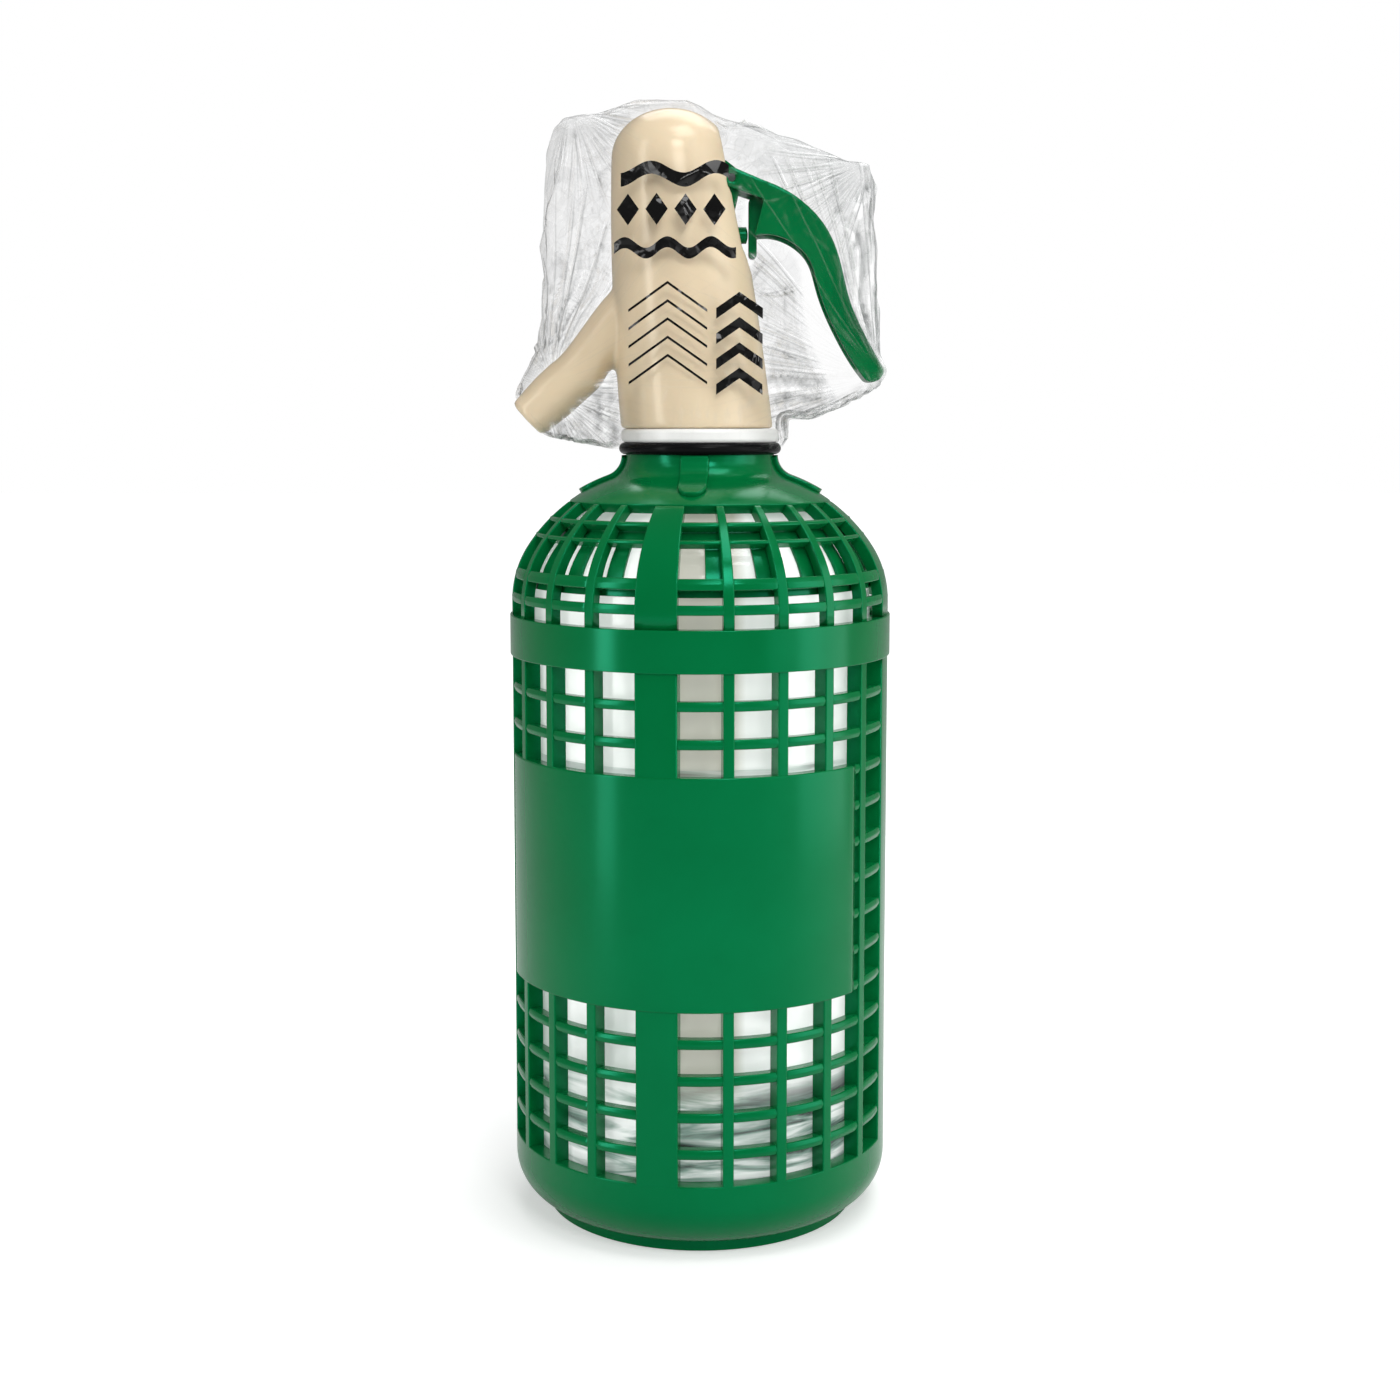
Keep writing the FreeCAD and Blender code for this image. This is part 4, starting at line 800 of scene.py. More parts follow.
def hoop(z_from, z_to):
    face, back = ([inside_dome(z_from + (z_to - z_from) * k / 3, inset)[:2] for k in range(4)]
                  for inset in (SPACER_FACE, SPACER_FACE + SPACER_WALL))
    return lathe("hoop", rounded(face + back[::-1], HOOP_EDGE, 2), HOOP_STEPS)


slat_line = [inside_dome(spacer_low + SLAT_FOOT + k * SLAT_STEP, SPACER_FACE) for k in range(SLAT_POINTS)]
slats = repeat(upright("slat", SLAT_ANGLE, slat_line, SPACER_WALL, SLAT_EDGE), green,
               {"Quarters": 1, "Columns": SLATS, "Column Angle": 2 * math.pi / SLATS,
                "First Bearing": math.radians(SLAT_BEARING)})
hoops = [hoop(spacer_low + rise, spacer_low + rise + HOOP) for rise in (0, UPPER_HOOP)]
spacer = join("spacer_body", [slats] + hoops)
dress(crisp(spacer), green, "bottle_and_head", "shoulder_spacer")

# %% [markdown]
# ## Pieces that keep their frame shape
# The glass, the rings, the pin and what is inside are simple turned forms that the
# frame already holds exactly. Drawing them again would only add faces, so they stay as
# they are and take a material.

# %% Frame pieces
COATS = {"bottle": glass, "foot_plate": green, "neck_ring": rubber, "collar_nut": white,
         "split_ring_front": white, "split_ring_back": white, "mouth_gasket": rubber,
         "dip_tube": clear_tube, "lever_bracket": green, "pivot_pin": steel, "valve_spool": white,
         "spool_seal_inner": rubber, "spool_seal_outer": rubber, "push_knob": green, "valve_bush": white}
for name, coat in COATS.items():
    paint(frame["nodes"][name], coat)

# %% [markdown]
# ## Head and lever
# Both are moulded, so no edge on them is sharp and the spout grows out of the head in
# one sweep. A bevel modifier fails on the loose triangles of such a mesh. A voxel
# remesh of a copy gives even faces instead, and smoothing them rounds every edge by
# about a millimetre while the large forms stay where they were.

# %% Head and lever
COPY_WELD = 1e-6


def node_copy(name, label):
    """A welded copy of a frame node's mesh in a new object."""
    return placed(label, welded(frame["nodes"][name].data.copy(), COPY_WELD, False))


def softened(node, label, voxel, rounds, coat, body):
    made = node_copy(node, label)
    grid = made.modifiers.new("even", "REMESH")
    grid.mode = "VOXEL"
    grid.voxel_size = voxel * MM
    ease = made.modifiers.new("ease", "SMOOTH")
    ease.iterations = rounds
    ease.factor = 0.5
    shade_smooth(applied(made).data)
    dress(made, coat, body, node)


softened("head", "head_body", voxel=0.75, rounds=7, coat=cream,
         body="bottle_and_head")
softened("lever", "lever_body", voxel=0.38, rounds=6, coat=green, body="lever")

# %% [markdown]
# ## Return spring
# The spring stands in the head's bore, between its closed end and the spool, and in the
# real siphon it gets shorter as the lever is squeezed. Here it is a rigid copy of the
# frame's spring, which would pass through the spool when the lever is squeezed.

# %% Return spring
press = next(joint for joint in frame["joints"] if joint["name"] == "lever_press")
PIVOT = Vector(press["pos_m"]) / MM
SQUEEZE = press["range_deg"][1]
spring = node_copy("return_spring", "return_spring_coil")
dress(spring, steel, "bottle_and_head", "return_spring")
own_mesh(spring)

# %% [markdown]
# ## Film hood: its surface
# The wrapping is a bag of thin film pulled over the head and gathered at the neck. A
# cloth simulation would be slow and hard to steer, so the sheet is shaped by rule. A
# cube's faces, divided evenly and blown out from inside the bag until they meet the
# frame's hood, give one sheet of nearly even squares. Squares that look out through
# the gathered mouth or the spout's hole meet nothing and are left out.

# %% Film hood surface
FILM_CUTS = 117
FILM_LIFT = 0.25             # the sheet starts this far outside the frame's hood
FILM_ROUNDS = 6              # of smoothing
SPOUT_TILT = math.radians(42.7)
SPOUT_END = Vector((-50.3, 0, HEAD_BASE + 2.5))
SPOUT_WAY = Vector((math.cos(SPOUT_TILT), 0, math.sin(SPOUT_TILT)))
SPOUT_GRIP, SPOUT_NEAR, SPOUT_SIDE = 7.45, 12, -30
MOUTH_RADIUS = 23.95
MOUTH_HEIGHT = (ring_low.z + ring_high.z) / 2
HEART = Vector((0.0, 0.0, HEAD_BASE + 46))


def tree_of(*pairs):
    """One search tree over the meshes of (object, matrix) pairs, in millimetres."""
    vertices, faces = [], []
    for made, turn in pairs:
        start = len(vertices)
        vertices += [turn @ (v.co / MM) for v in made.data.vertices]
        faces += [tuple(start + k for k in f.vertices) for f in made.data.polygons]
    return BVHTree.FromPolygons(vertices, faces)


still = Matrix.Identity(4)
hood_tree = tree_of((frame["nodes"]["film_hood"], still))
work = bmesh.new()
bmesh.ops.create_cube(work, size=2)
bmesh.ops.subdivide_edges(work, edges=work.edges, cuts=FILM_CUTS, use_grid_fill=True)
gone = []
for v in work.verts:
    way = Vector([math.tan(c * math.pi / 4) for c in v.co]).normalized()
    hit = hood_tree.ray_cast(HEART, way)[0]
    if hit is None:
        gone.append(v)
    else:
        v.co = hit + way * FILM_LIFT
bmesh.ops.delete(work, geom=gone, context="VERTS")
bmesh.ops.delete(work, geom=[v for v in work.verts if len(v.link_faces) == 0], context="VERTS")
for k in range(FILM_ROUNDS):
    bmesh.ops.smooth_vert(work, verts=[v for v in work.verts if not v.is_boundary], factor=0.5,
                          use_axis_x=True, use_axis_y=True, use_axis_z=True)
for v in work.verts:
    if not v.is_boundary:
        continue
    off = v.co - SPOUT_END
    along = off.dot(SPOUT_WAY)
    aside = off - along * SPOUT_WAY
    if aside.length < SPOUT_NEAR and v.co.x < SPOUT_SIDE:
        v.co = SPOUT_END + along * SPOUT_WAY + aside.normalized() * SPOUT_GRIP
    else:
        flat = Vector((v.co.x, v.co.y, 0)).normalized() * MOUTH_RADIUS
        v.co = Vector((flat.x, flat.y, MOUTH_HEIGHT))
work.verts.index_update()
bmesh.ops.recalc_face_normals(work, faces=work.faces)
work.normal_update()
FILM = np.array([v.co for v in work.verts])
FILM_NORMALS = np.array([v.normal for v in work.verts])
if np.mean(np.sum(FILM_NORMALS * (FILM - np.array(HEART)), axis=1)) < 0:
    bmesh.ops.reverse_faces(work, faces=work.faces)
    FILM_NORMALS = -FILM_NORMALS
EDGE = np.array([v.is_boundary for v in work.verts])
film_links = np.array([[e.verts[0].index, e.verts[1].index] for e in work.edges])
print("film points", len(FILM), "on its edges", int(EDGE.sum()))

# %% [markdown]
# ## Film hood: its creases
# Stiff film doesn't wave, it breaks into flat facets with sharp creases between them,
# which a noise texture can't give. Random points on a ball, joined by their convex
# hull, make such facets: moving each point in or out tilts the facets round it. Three
# sizes of facet are added up. Long folds that fan out from where the film is pulled,
# and pleats at the gathered mouth, are added on top.

# %% Film hood creases
FACETS = ((1.6, 90), (1.3, 330), (0.36, 1300))     # height in millimetres and number of points
PULLS = ((52.0, 15.0), (-44.0, 12.0), (-36.0, 91.0), (49.0, 77.0))    # x, and height above the head's base
# Height, number of folds, and the distances where they start, are strongest and end
PULLED = ((1.1, 64, 1, 22, 75), (0.8, 70, 8, 20, 60), (0.35, 46, 1, 16, 50), (0.35, 46, 1, 16, 50))
PLEATS, PLEATS_END, PLEATS_FULL = 120, 22, 3
SWAY, SWAY_RATE = 0.06, 0.21
OUTSIDE, TINY = 2, 1e-12                           # a start outside the ball, and a guard against zero
dice = np.random.default_rng(SEED)
WAYS = FILM - np.array(HEART)
WAYS = WAYS / np.linalg.norm(WAYS, axis=1)[:, None]


def facets(count):
    """Heights from -1 to 1 over flat facets with sharp creases between them."""
    seeds = dice.normal(size=(count, 3))
    seeds /= np.linalg.norm(seeds, axis=1)[:, None]
    ball = bmesh.new()
    for seed in seeds:
        ball.verts.new(seed)
    bmesh.ops.convex_hull(ball, input=ball.verts)
    bmesh.ops.triangulate(ball, faces=ball.faces)
    ball.verts.index_update()
    ball.faces.index_update()
    ball.faces.ensure_lookup_table()
    corners = np.array([[v.index for v in f.verts] for f in ball.faces])
    spots = np.array([v.co for v in ball.verts])
    tree = BVHTree.FromBMesh(ball)
    heights = dice.uniform(-1, 1, len(spots))
    which = np.zeros(len(WAYS), int)
    where = np.zeros((len(WAYS), 3))
    for k, way in enumerate(WAYS):
        hit, _, index, _ = tree.ray_cast(Vector(way) * OUTSIDE, -Vector(way))
        if hit is not None:
            which[k], where[k] = index, hit
    ball.free()
    a, b, c = (spots[corners[which, n]] for n in range(3))
    area = np.linalg.norm(np.cross(b - a, c - a), axis=1) + TINY
    wa = np.linalg.norm(np.cross(b - where, c - where), axis=1) / area
    wb = np.linalg.norm(np.cross(a - where, c - where), axis=1) / area
    wc = np.clip(1 - wa - wb, 0, 1)
    return wa * heights[corners[which, 0]] + wb * heights[corners[which, 1]] + wc * heights[corners[which, 2]]


def zigzag(where, low, high, folds, least):
    """Folds at random places from low to high, by turns out and in."""
    knots = np.sort(dice.uniform(low, high, folds))
    return np.interp(where, knots, dice.uniform(least, 1.0, folds) * np.where(np.arange(folds) % 2, 1, -1))


def fan(anchor, folds, start, full, end):
    """Folds that fan out from a point: none at the point, strongest at full, gone by end."""
    off = FILM - np.array(anchor)
    far = np.linalg.norm(off, axis=1)
    bearing = np.arctan2(off[:, 2], off[:, 0]) + np.pi * (FILM[:, 1] > 0)
    wave = zigzag(bearing + SWAY * np.sin(far * SWAY_RATE), -np.pi, 2 * np.pi, folds, 0.4)
    rise = np.clip((far - start) / (full - start), 0, 1) * np.clip((end - far) / (end - full), 0, 1)
    return wave * rise


shape = sum(height * facets(count) for height, count in FACETS)
for (x, z), (height, *folds) in zip(PULLS, PULLED):
    shape += height * fan((x, 0, HEAD_BASE + z), *folds)
pleats = zigzag(np.arctan2(FILM[:, 1], FILM[:, 0]), -np.pi, np.pi, PLEATS, 0.3)
over_mouth = FILM[:, 2] - MOUTH_HEIGHT
near_mouth = np.clip(1 - over_mouth / PLEATS_END, 0, 1) * np.clip(over_mouth / PLEATS_FULL, 0, 1)
shape += pleats * near_mouth
print("fold heights", round(float(shape.min()), 2), round(float(shape.max()), 2))

# %% [markdown]
# ## Film hood: room for what it covers
# The folds may sink towards the head and the lever but never reach them, at rest or
# with the lever squeezed. A shrinkwrap would only push the film off one pose, so each
# point's fall is held to its distance from all of them. Three values go with each
# point: how far it is a ridge, how far a valley, and whether the head or the lever
# stands behind it, where clear film shows less.

# %% Film hood room
ROOM_SEEN, CLEAR = 9.0, 0.75                # how far to look for a piece, and the gap kept to it
LEVEL, RISE, SINK = 0.5, 0.7, 4.0           # usual fall, and the most that a fold rises or sinks
COVERED = ("head", "lever_bracket", "push_knob", "collar_nut", "neck_ring")
covered = [(frame["nodes"][name], still) for name in COVERED]
for share in (0, 0.35, 0.7, 1):             # of the lever's way
    swing = Matrix.Rotation(math.radians(share * SQUEEZE), 4, "Y")
    covered.append((frame["nodes"]["lever"], Matrix.Translation(PIVOT) @ swing @ Matrix.Translation(-PIVOT)))
cover_tree = tree_of(*covered)
room = np.full(len(FILM), ROOM_SEEN)
for k, point in enumerate(FILM):
    found = cover_tree.find_nearest(Vector(point), ROOM_SEEN)
    if found[0] is not None:
        room[k] = found[3]
fall = np.minimum(np.clip(LEVEL - shape, -RISE, SINK), np.clip(room - CLEAR, 0, ROOM_SEEN))
fall[EDGE] = 0
film_points = FILM - FILM_NORMALS * fall[:, None]


def eased(values, rounds):
    """Averages each point with its neighbours, some rounds over."""
    for k in range(rounds):
        total, count = values.copy(), np.ones(len(values))
        for one, other in ((0, 1), (1, 0)):
            np.add.at(total, film_links[:, one], values[film_links[:, other]])
            np.add.at(count, film_links[:, one], 1)
        values = total / count
    return values


FAINT, SHARPEST = 0.3, 97                   # bends left out, and the percentile that counts as full
bend = eased(-fall, 1) - eased(-fall, 5)
bend /= np.percentile(np.abs(bend), SHARPEST)
behind = np.zeros(len(FILM))
for k, point in enumerate(FILM):
    inward = Vector((0, 1 if point[1] < 0 else -1, 0))
    behind[k] = cover_tree.ray_cast(Vector(point), inward)[0] is not None
behind = eased(behind, 2)
for k, v in enumerate(work.verts):
    v.co = Vector(film_points[k]) * MM
film_mesh = bpy.data.meshes.new("film_wrap")
work.to_mesh(film_mesh)
work.free()
shade_smooth(film_mesh)
# The ridge values later become painted glints and the valley values painted shade in the film's colour.
ridge, valley = ((way * bend - FAINT) / (1 - FAINT) for way in (1, -1))
for label, values in (("ridge", ridge), ("valley", valley), ("behind", behind)):
    layer = film_mesh.attributes.new(label, "FLOAT", "POINT")
    layer.data.foreach_set("value", np.clip(values, 0, 1).astype(np.float32))
film = placed("film_wrap", film_mesh)

# %% [markdown]
# ## Print on the film
# A bag like this is printed in black. The print here is a plain ornament: a row of
# diamonds, two thick waves and two stacks of chevrons. An image would need a picture
# file; here each mark is a short formula in the bag's own millimetres, and together
# they are one mask in a group of their own.

# %% Print
PRINTED_SIDE = -0.004                       # metres: the print lies in front of this
ornament, given, result = group("Printed Ornament", {}, {"Mask": "Float"})
calc = formula(ornament)
parts = axes(ornament, place_in(ornament))
x = calc("MULTIPLY", parts["X"], 1 / MM)
z = calc("SUBTRACT", calc("MULTIPLY", parts["Z"], 1 / MM), HEAD_BASE)


def within(value, low, high):
    return calc("MULTIPLY", calc("GREATER_THAN", value, low), calc("LESS_THAN", value, high))


def wave(height, half, x_from, x_to, length, swing):
    line = calc("MULTIPLY", calc("SINE", calc("MULTIPLY", x, 2 * math.pi / length)), swing)
    off = calc("ABSOLUTE", calc("SUBTRACT", calc("SUBTRACT", z, height), line))
    return calc("MULTIPLY", calc("LESS_THAN", off, half), within(x, x_from, x_to))


def diamonds(height, half_x, half_z, step, x_from, x_to):
    phase = calc("ABSOLUTE", calc("SUBTRACT", calc("FRACT", calc("DIVIDE", x, step)), 0.5))
    tall = calc("DIVIDE", calc("ABSOLUTE", calc("SUBTRACT", z, height)), half_z)
    size = calc("ADD", calc("DIVIDE", calc("MULTIPLY", phase, step), half_x), tall)
    return calc("MULTIPLY", calc("LESS_THAN", size, 1.0), within(x, x_from, x_to))


def chevrons(middle, half, low, high, step, share, slope=0.7):
    off = calc("ABSOLUTE", calc("SUBTRACT", x, middle))
    rise = calc("ADD", z, calc("MULTIPLY", off, slope))
    bars = calc("LESS_THAN", calc("FRACT", calc("DIVIDE", rise, step)), share)
    return calc("MULTIPLY", calc("MULTIPLY", bars, calc("LESS_THAN", off, half)), within(rise, low, high))


marks = [diamonds(height=60.5, half_x=3.1, half_z=4.4, step=8.0, x_from=-24.0, x_to=8.0),
         wave(height=70.5, half=1.9, x_from=-22.0, x_to=8.0, length=18.0, swing=1.8),
         wave(height=50.0, half=1.5, x_from=-24.0, x_to=10.0, length=12.0, swing=1.5),
         chevrons(middle=-9.0, half=11.0, low=19.5, high=42.0, step=5.0, share=0.16),
         chevrons(middle=11.0, half=6.5, low=13.5, high=40.0, step=7.0, share=0.42)]
mask = marks[0]
for mark in marks[1:]:
    mask = calc("MAXIMUM", mask, mark)
give(ornament, result, {"Mask": calc("MULTIPLY", mask, calc("LESS_THAN", parts["Y"], PRINTED_SIDE))})
print("marks", len(marks), "nodes", len(ornament.nodes))

# %% [markdown]
# ## Film crackle
# Handled film is covered in fine crackle. A cell texture whose coordinates are warped
# by noise gives lines along its cells' edges, a height for a bump and, for each cell, a
# painted shade, as if each facet caught the light a little differently. The film uses it
# twice, fine and broad, so it is a group.

# %% Film crackle
WARP = 0.012                                # metres
crackle, given, result = group("Film Crackle", {"Scale": 150.0, "Width": 0.05},
                               {"Lines": "Float", "Height": "Float", "Painted Facet Shade": "Float"})
calc = formula(crackle)
place = place_in(crackle)
warp = add(crackle, "ShaderNodeTexNoise", {"Vector": place, "Scale": 60.0}).outputs["Color"]
bent = add(crackle, "ShaderNodeVectorMath", {0: warp, "Scale": WARP}, operation="SCALE").outputs["Vector"]
moved = add(crackle, "ShaderNodeVectorMath", {0: place, 1: bent}, operation="ADD").outputs["Vector"]
cells = {"Vector": moved, "Scale": given["Scale"]}
edge, cell = (add(crackle, "ShaderNodeTexVoronoi", cells, feature=feature)
              for feature in ("DISTANCE_TO_EDGE", "F1"))
distance = edge.outputs["Distance"]
line = calc("SUBTRACT", 1.0, calc("MINIMUM", calc("DIVIDE", distance, given["Width"]), 1.0))
patchy = remap(crackle, noise(crackle, place, 45.0), 0.42, 0.62)
# Painted shade: each cell gets its own grey, as if its facet caught the light differently.
painted_facet_shade = add(crackle, "ShaderNodeSeparateColor", {"Color": cell.outputs["Color"]}).outputs["Red"]
give(crackle, result, {"Lines": calc("MULTIPLY", line, patchy), "Height": distance, "Painted Facet Shade": painted_facet_shade})
print("nodes in the crackle", len(crackle.nodes))

# %% [markdown]
# ## Film folds
# Long thin folds fan out from where the film is pulled, finer than the mesh can carry.
# The group measures the bearing and distance from a point, and draws a line wherever a
# one-dimensional cell texture of the bearing has an edge. A shadow lies beside each
# glint. The film uses it once for each pull.

# %% Film folds
FOLD_HALF, FOLD_SHADOW = 0.42, 0.75         # millimetres: half a line's width, and its shadow's distance
FADE_OUT, FADE_IN, FADE_FROM = 14.0, 8.0, 4.0
OTHER_SIDE, DRIFT = 1.7, 0.12               # radians: other folds at the back, and how much they wander
folds, given, result = group("Film Folds", {"X": 0.0, "Z": 0.0, "Side": 1.0, "Count": 9.0, "Reach": 60.0},
                             {"Glint": "Float", "Shadow": "Float"})
calc = formula(folds)
place = place_in(folds)
parts = axes(folds, place)
x = calc("MULTIPLY", calc("SUBTRACT", calc("MULTIPLY", parts["X"], 1 / MM), given["X"]), given["Side"])
z = calc("SUBTRACT", calc("SUBTRACT", calc("MULTIPLY", parts["Z"], 1 / MM), HEAD_BASE), given["Z"])
far = calc("MAXIMUM", calc("SQRT", calc("ADD", calc("MULTIPLY", x, x), calc("MULTIPLY", z, z))), 1.0)
at_back = calc("MULTIPLY", calc("GREATER_THAN", parts["Y"], 0.0), OTHER_SIDE)
bearing = calc("ADD", calc("ADD", calc("ARCTAN2", z, x), at_back),
               calc("MULTIPLY", noise(folds, place, 22.0, 1.0), DRIFT))
fade = calc("MINIMUM", calc("DIVIDE", calc("SUBTRACT", given["Reach"], far), FADE_OUT),
            calc("DIVIDE", calc("SUBTRACT", far, FADE_FROM), FADE_IN))
fade = calc("MINIMUM", calc("MAXIMUM", fade, 0.0), 1.0)
for label, beside in (("Glint", 0.0), ("Shadow", FOLD_SHADOW)):
    aim = calc("MULTIPLY", calc("ADD", bearing, calc("DIVIDE", beside, far)), given["Count"])
    rays = add(folds, "ShaderNodeTexVoronoi", {"W": aim, "Scale": 1.0}, voronoi_dimensions="1D",
               feature="DISTANCE_TO_EDGE").outputs["Distance"]
    some = add(folds, "ShaderNodeTexNoise", {"W": aim, "Scale": 0.9}, noise_dimensions="1D").outputs["Fac"]
    arc = calc("DIVIDE", calc("MULTIPLY", rays, far), given["Count"])
    line = calc("SUBTRACT", 1.0, calc("MINIMUM", calc("DIVIDE", arc, FOLD_HALF), 1.0))
    present = calc("MULTIPLY", line, remap(folds, some, 0.40, 0.60))
    give(folds, result, {label: calc("MULTIPLY", present, fade)})
print("nodes in the folds", len(folds.nodes))

# %% [markdown]
# ## Film finish
# Thin film shows mostly by its creases: a painted glint along each ridge and a painted
# grey shade line in each valley. Glass settings would make the whole bag bend and darken
# what is behind it, so here the alpha decides how much film shows: haze and painted shade
# from the facets' painted tones, the painted shadows and the crackle, painted sparks from
# the glints, and the ink in full. Seen square on, film is clearest, and the haze fades
# where the film is gathered on the neck.

# %% Film finish
PULL_LOOKS = ((-1, 15, 74), (1, 12, 62), (1, 9, 30), (-1, 10, 34))    # side, number and reach of its folds
SPARK, SPARK_BEHIND, HAZE_BEHIND = 0.38, 0.33, 0.97
NECK_FADE, MOUTH_FADE = 0.008, 0.005        # metres
clear_film, tree, shader = material("clear film")
calc = formula(tree)
fine = use(tree, crackle, Scale=210.0, Width=0.07)
broad = use(tree, crackle, Scale=85.0, Width=0.05)
ink = use(tree, ornament)["Mask"]
glint, shadow, cover = (add(tree, "ShaderNodeAttribute", {}, attribute_name=label).outputs["Fac"]
                        for label in ("ridge", "valley", "behind"))
facing = add(tree, "ShaderNodeLayerWeight", {"Blend": 0.4}).outputs["Facing"]
for (x, z), (side, count, reach) in zip(PULLS, PULL_LOOKS):
    rays = use(tree, folds, X=x, Z=z, Side=side, Count=count, Reach=reach)
    glint = calc("MAXIMUM", glint, rays["Glint"])
    shadow = calc("MAXIMUM", shadow, rays["Shadow"])
lines = calc("MAXIMUM", fine["Lines"], broad["Lines"])
# Haze and painted shade: the facets' painted tones, more film at a grazing view, the painted shadows of
# valleys and folds, and the crackle lines.
haze_and_painted_shade = calc("MULTIPLY", calc("MULTIPLY", calc("ADD", fine["Painted Facet Shade"], broad["Painted Facet Shade"]), 0.5), 0.24)
for part, strength in ((facing, 0.28), (shadow, 0.30), (lines, 0.10)):
    haze_and_painted_shade = calc("ADD", haze_and_painted_shade, calc("MULTIPLY", part, strength))
haze_and_painted_shade = calc("MULTIPLY", haze_and_painted_shade, calc("SUBTRACT", 1.0, calc("MULTIPLY", cover, HAZE_BEHIND)))
spark = calc("MULTIPLY", glint, calc("SUBTRACT", SPARK, calc("MULTIPLY", cover, SPARK_BEHIND)))

parts = axes(tree, place_in(tree))
above = calc("DIVIDE", calc("SUBTRACT", parts["Z"], ring_high.z * MM), NECK_FADE)
outside = calc("SQRT", calc("ADD", calc("POWER", parts["X"], 2.0), calc("POWER", parts["Y"], 2.0)))
outside = calc("DIVIDE", calc("SUBTRACT", outside, (MOUTH_RADIUS + 1.0) * MM), MOUTH_FADE)
away = calc("MINIMUM", calc("MAXIMUM", calc("MAXIMUM", above, outside), 0.0), 1.0)
shown = calc("MULTIPLY", calc("ADD", haze_and_painted_shade, spark), away)

# Painted highlight: white where the ridges and folds glint; painted shade: dark grey in the valleys and
# beside each fold.
shine = blend(tree, glint, (0.42, 0.43, 0.44), (1.0, 1.0, 1.0))
shaded = blend(tree, shadow, shine, (0.16, 0.17, 0.17))
give(tree, shader, {"Alpha": calc("MINIMUM", calc("MAXIMUM", shown, ink), 1.0),
                    "Base Color": blend(tree, ink, shaded, (0.002, 0.002, 0.002)),
                    "Normal": relief(tree, broad["Height"], 0.5, 2 * MM),
                    "Roughness": calc("ADD", 0.12, calc("MULTIPLY", lines, 0.2)),
                    "Specular IOR Level": 0.3})
dress(film, clear_film, "bottle_and_head", "film_hood")

# %% [markdown]
# ## Camera
# The camera stands a little below level with the head and looks slightly down, and a
# small shift centres the siphon in a square picture without tilting its sides.

# %% Camera
camera = placed("camera", bpy.data.cameras.new("camera"))
scene.camera = camera
camera.location = (0, -0.5758, 0.230)
camera.rotation_euler = (math.radians(90 - 5.55), 0, 0)
camera.data.lens = 50.556
camera.data.sensor_width = 36
camera.data.shift_y = -0.06
camera.data.clip_start = 0.01
print("camera", tuple(camera.location))

# %% [markdown]
# ## Floor and background
# A pale floor carries the soft shadow, and the background is plain white. Both are
# white only where the camera sees them, also through glass; there the floor glows, but
# less near the foot, so that round the foot it is painted a little darker, where its
# shadow falls as well. Mirrored in the plastic they are much dimmer, so that the white
# room doesn't wash out its colours.

# %% Floor and background
MIRRORED = 0.19
FILL = 0.26
FLOOR_HALF, FLOOR_DROP = 6, 0.0002
GLOW_FROM, GLOW_FULL, GLOW_LEAST = 0.06, 0.24, 0.42    # metres from the foot, and the glow under it


def seen(tree):
    """1 where the camera sees the background, also through glass; less where it is mirrored."""
    rays = add(tree, "ShaderNodeLightPath", {}).outputs
    calc = formula(tree)
    direct = calc("MAXIMUM", rays["Is Camera Ray"], rays["Is Transmission Ray"])
    return calc("MAXIMUM", direct, calc("MULTIPLY", rays["Is Glossy Ray"], MIRRORED))


floor_mesh = bpy.data.meshes.new("floor")
corners = [(x * FLOOR_HALF, y * FLOOR_HALF, -FLOOR_DROP) for x, y in ((-1, -1), (1, -1), (1, 1), (-1, 1))]
floor_mesh.from_pydata(corners, [], [tuple(range(len(corners)))])
floor = placed("floor", floor_mesh)
paper, tree, shader = material("pale floor")
place = place_in(tree)
middle = add(tree, "ShaderNodeVectorMath", {0: place}, operation="LENGTH").outputs["Value"]
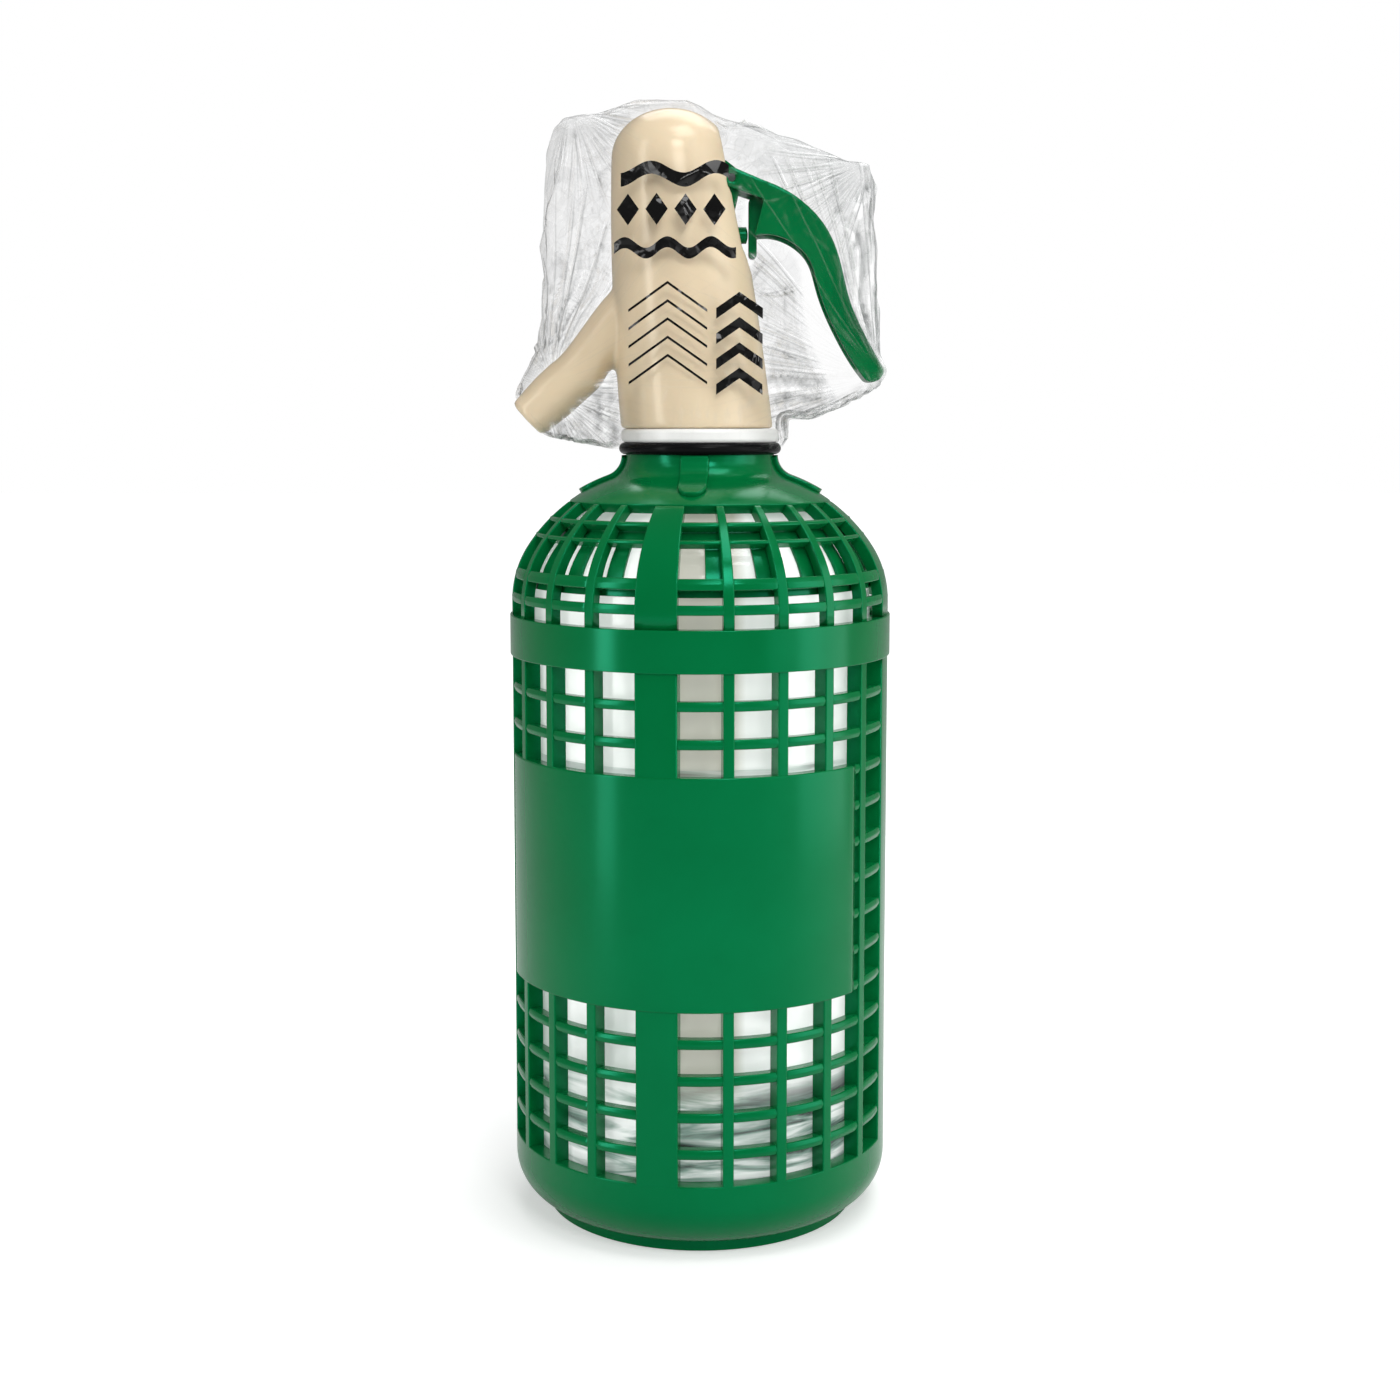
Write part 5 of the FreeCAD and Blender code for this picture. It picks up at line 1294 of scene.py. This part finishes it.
# Painted shade: the glow is weaker near the foot, so the floor there is painted a little darker.
glow_with_painted_foot_shade = formula(tree)("MULTIPLY", seen(tree), remap(tree, middle, GLOW_FROM, GLOW_FULL, GLOW_LEAST, 1.0))
grey = blend(tree, noise(tree, place, 3.0), (0.72, 0.72, 0.72), (0.75, 0.75, 0.75))
give(tree, shader, {"Base Color": grey, "Roughness": 0.8, "Specular IOR Level": 0.1,
                    "Emission Color": (1, 1, 1, 1), "Emission Strength": glow_with_painted_foot_shade})
floor.data.materials.append(paper)

world = bpy.data.worlds.new("studio")
scene.world = world
world.use_nodes = True
tree = world.node_tree
strength = formula(tree)("MAXIMUM", FILL, seen(tree))
give(tree, tree.nodes["Background"], {"Color": (1, 1, 1, 1), "Strength": strength})
scene.view_settings.view_transform = "Standard"
print("fill", FILL, "mirrored", MIRRORED)

# %% [markdown]
# ## Lamps
# Gloss is drawn by what it mirrors, so each of seven soft lamps has a line to draw: a
# strip on the left and a broad lamp on the right, two smaller ones above for the
# shoulder and the upper edges of the ribs, a large one above and behind for the rim of
# light on the cap, and two close bands that round off the sides of the cage. Their
# power is low enough that the pale head and collar don't clip.

# %% Lamps
LAMPS = (("strip", (-0.75, -0.50, 0.45), 0.17, (0.18, 0.9), 1.8),
         ("broad", (0.85, -0.55, 0.45), 0.18, (0.7, 0.9), 2.2),
         ("front", (0.15, -0.65, 0.66), 0.17, (0.25, 0.25), 1.8),
         ("top", (0.20, -0.25, 0.9), 0.15, (0.35, 0.35), 2.0),
         ("crown", (0.10, 0.45, 0.95), 0.20, (0.8, 0.6), 4.0),
         ("left band", (-0.36, -0.26, 0.21), 0.19, (0.09, 0.40), 0.30),
         ("right band", (0.45, -0.12, 0.23), 0.19, (0.30, 0.42), 0.70))
for name, spot, aim, size, power in LAMPS:    # place, height aimed at on the axis, size in metres, watts
    lamp = placed(name, bpy.data.lights.new(name, "AREA"))
    lamp.location = spot
    lamp.rotation_euler = (Vector((0, 0, aim)) - Vector(spot)).to_track_quat("-Z", "Y").to_euler()
    lamp.data.shape = "RECTANGLE"
    lamp.data.size, lamp.data.size_y = size
    lamp.data.energy = power
    lamp.visible_camera = False
print("lamps", len(LAMPS), "watts in all", round(sum(lamp[-1] for lamp in LAMPS), 1))
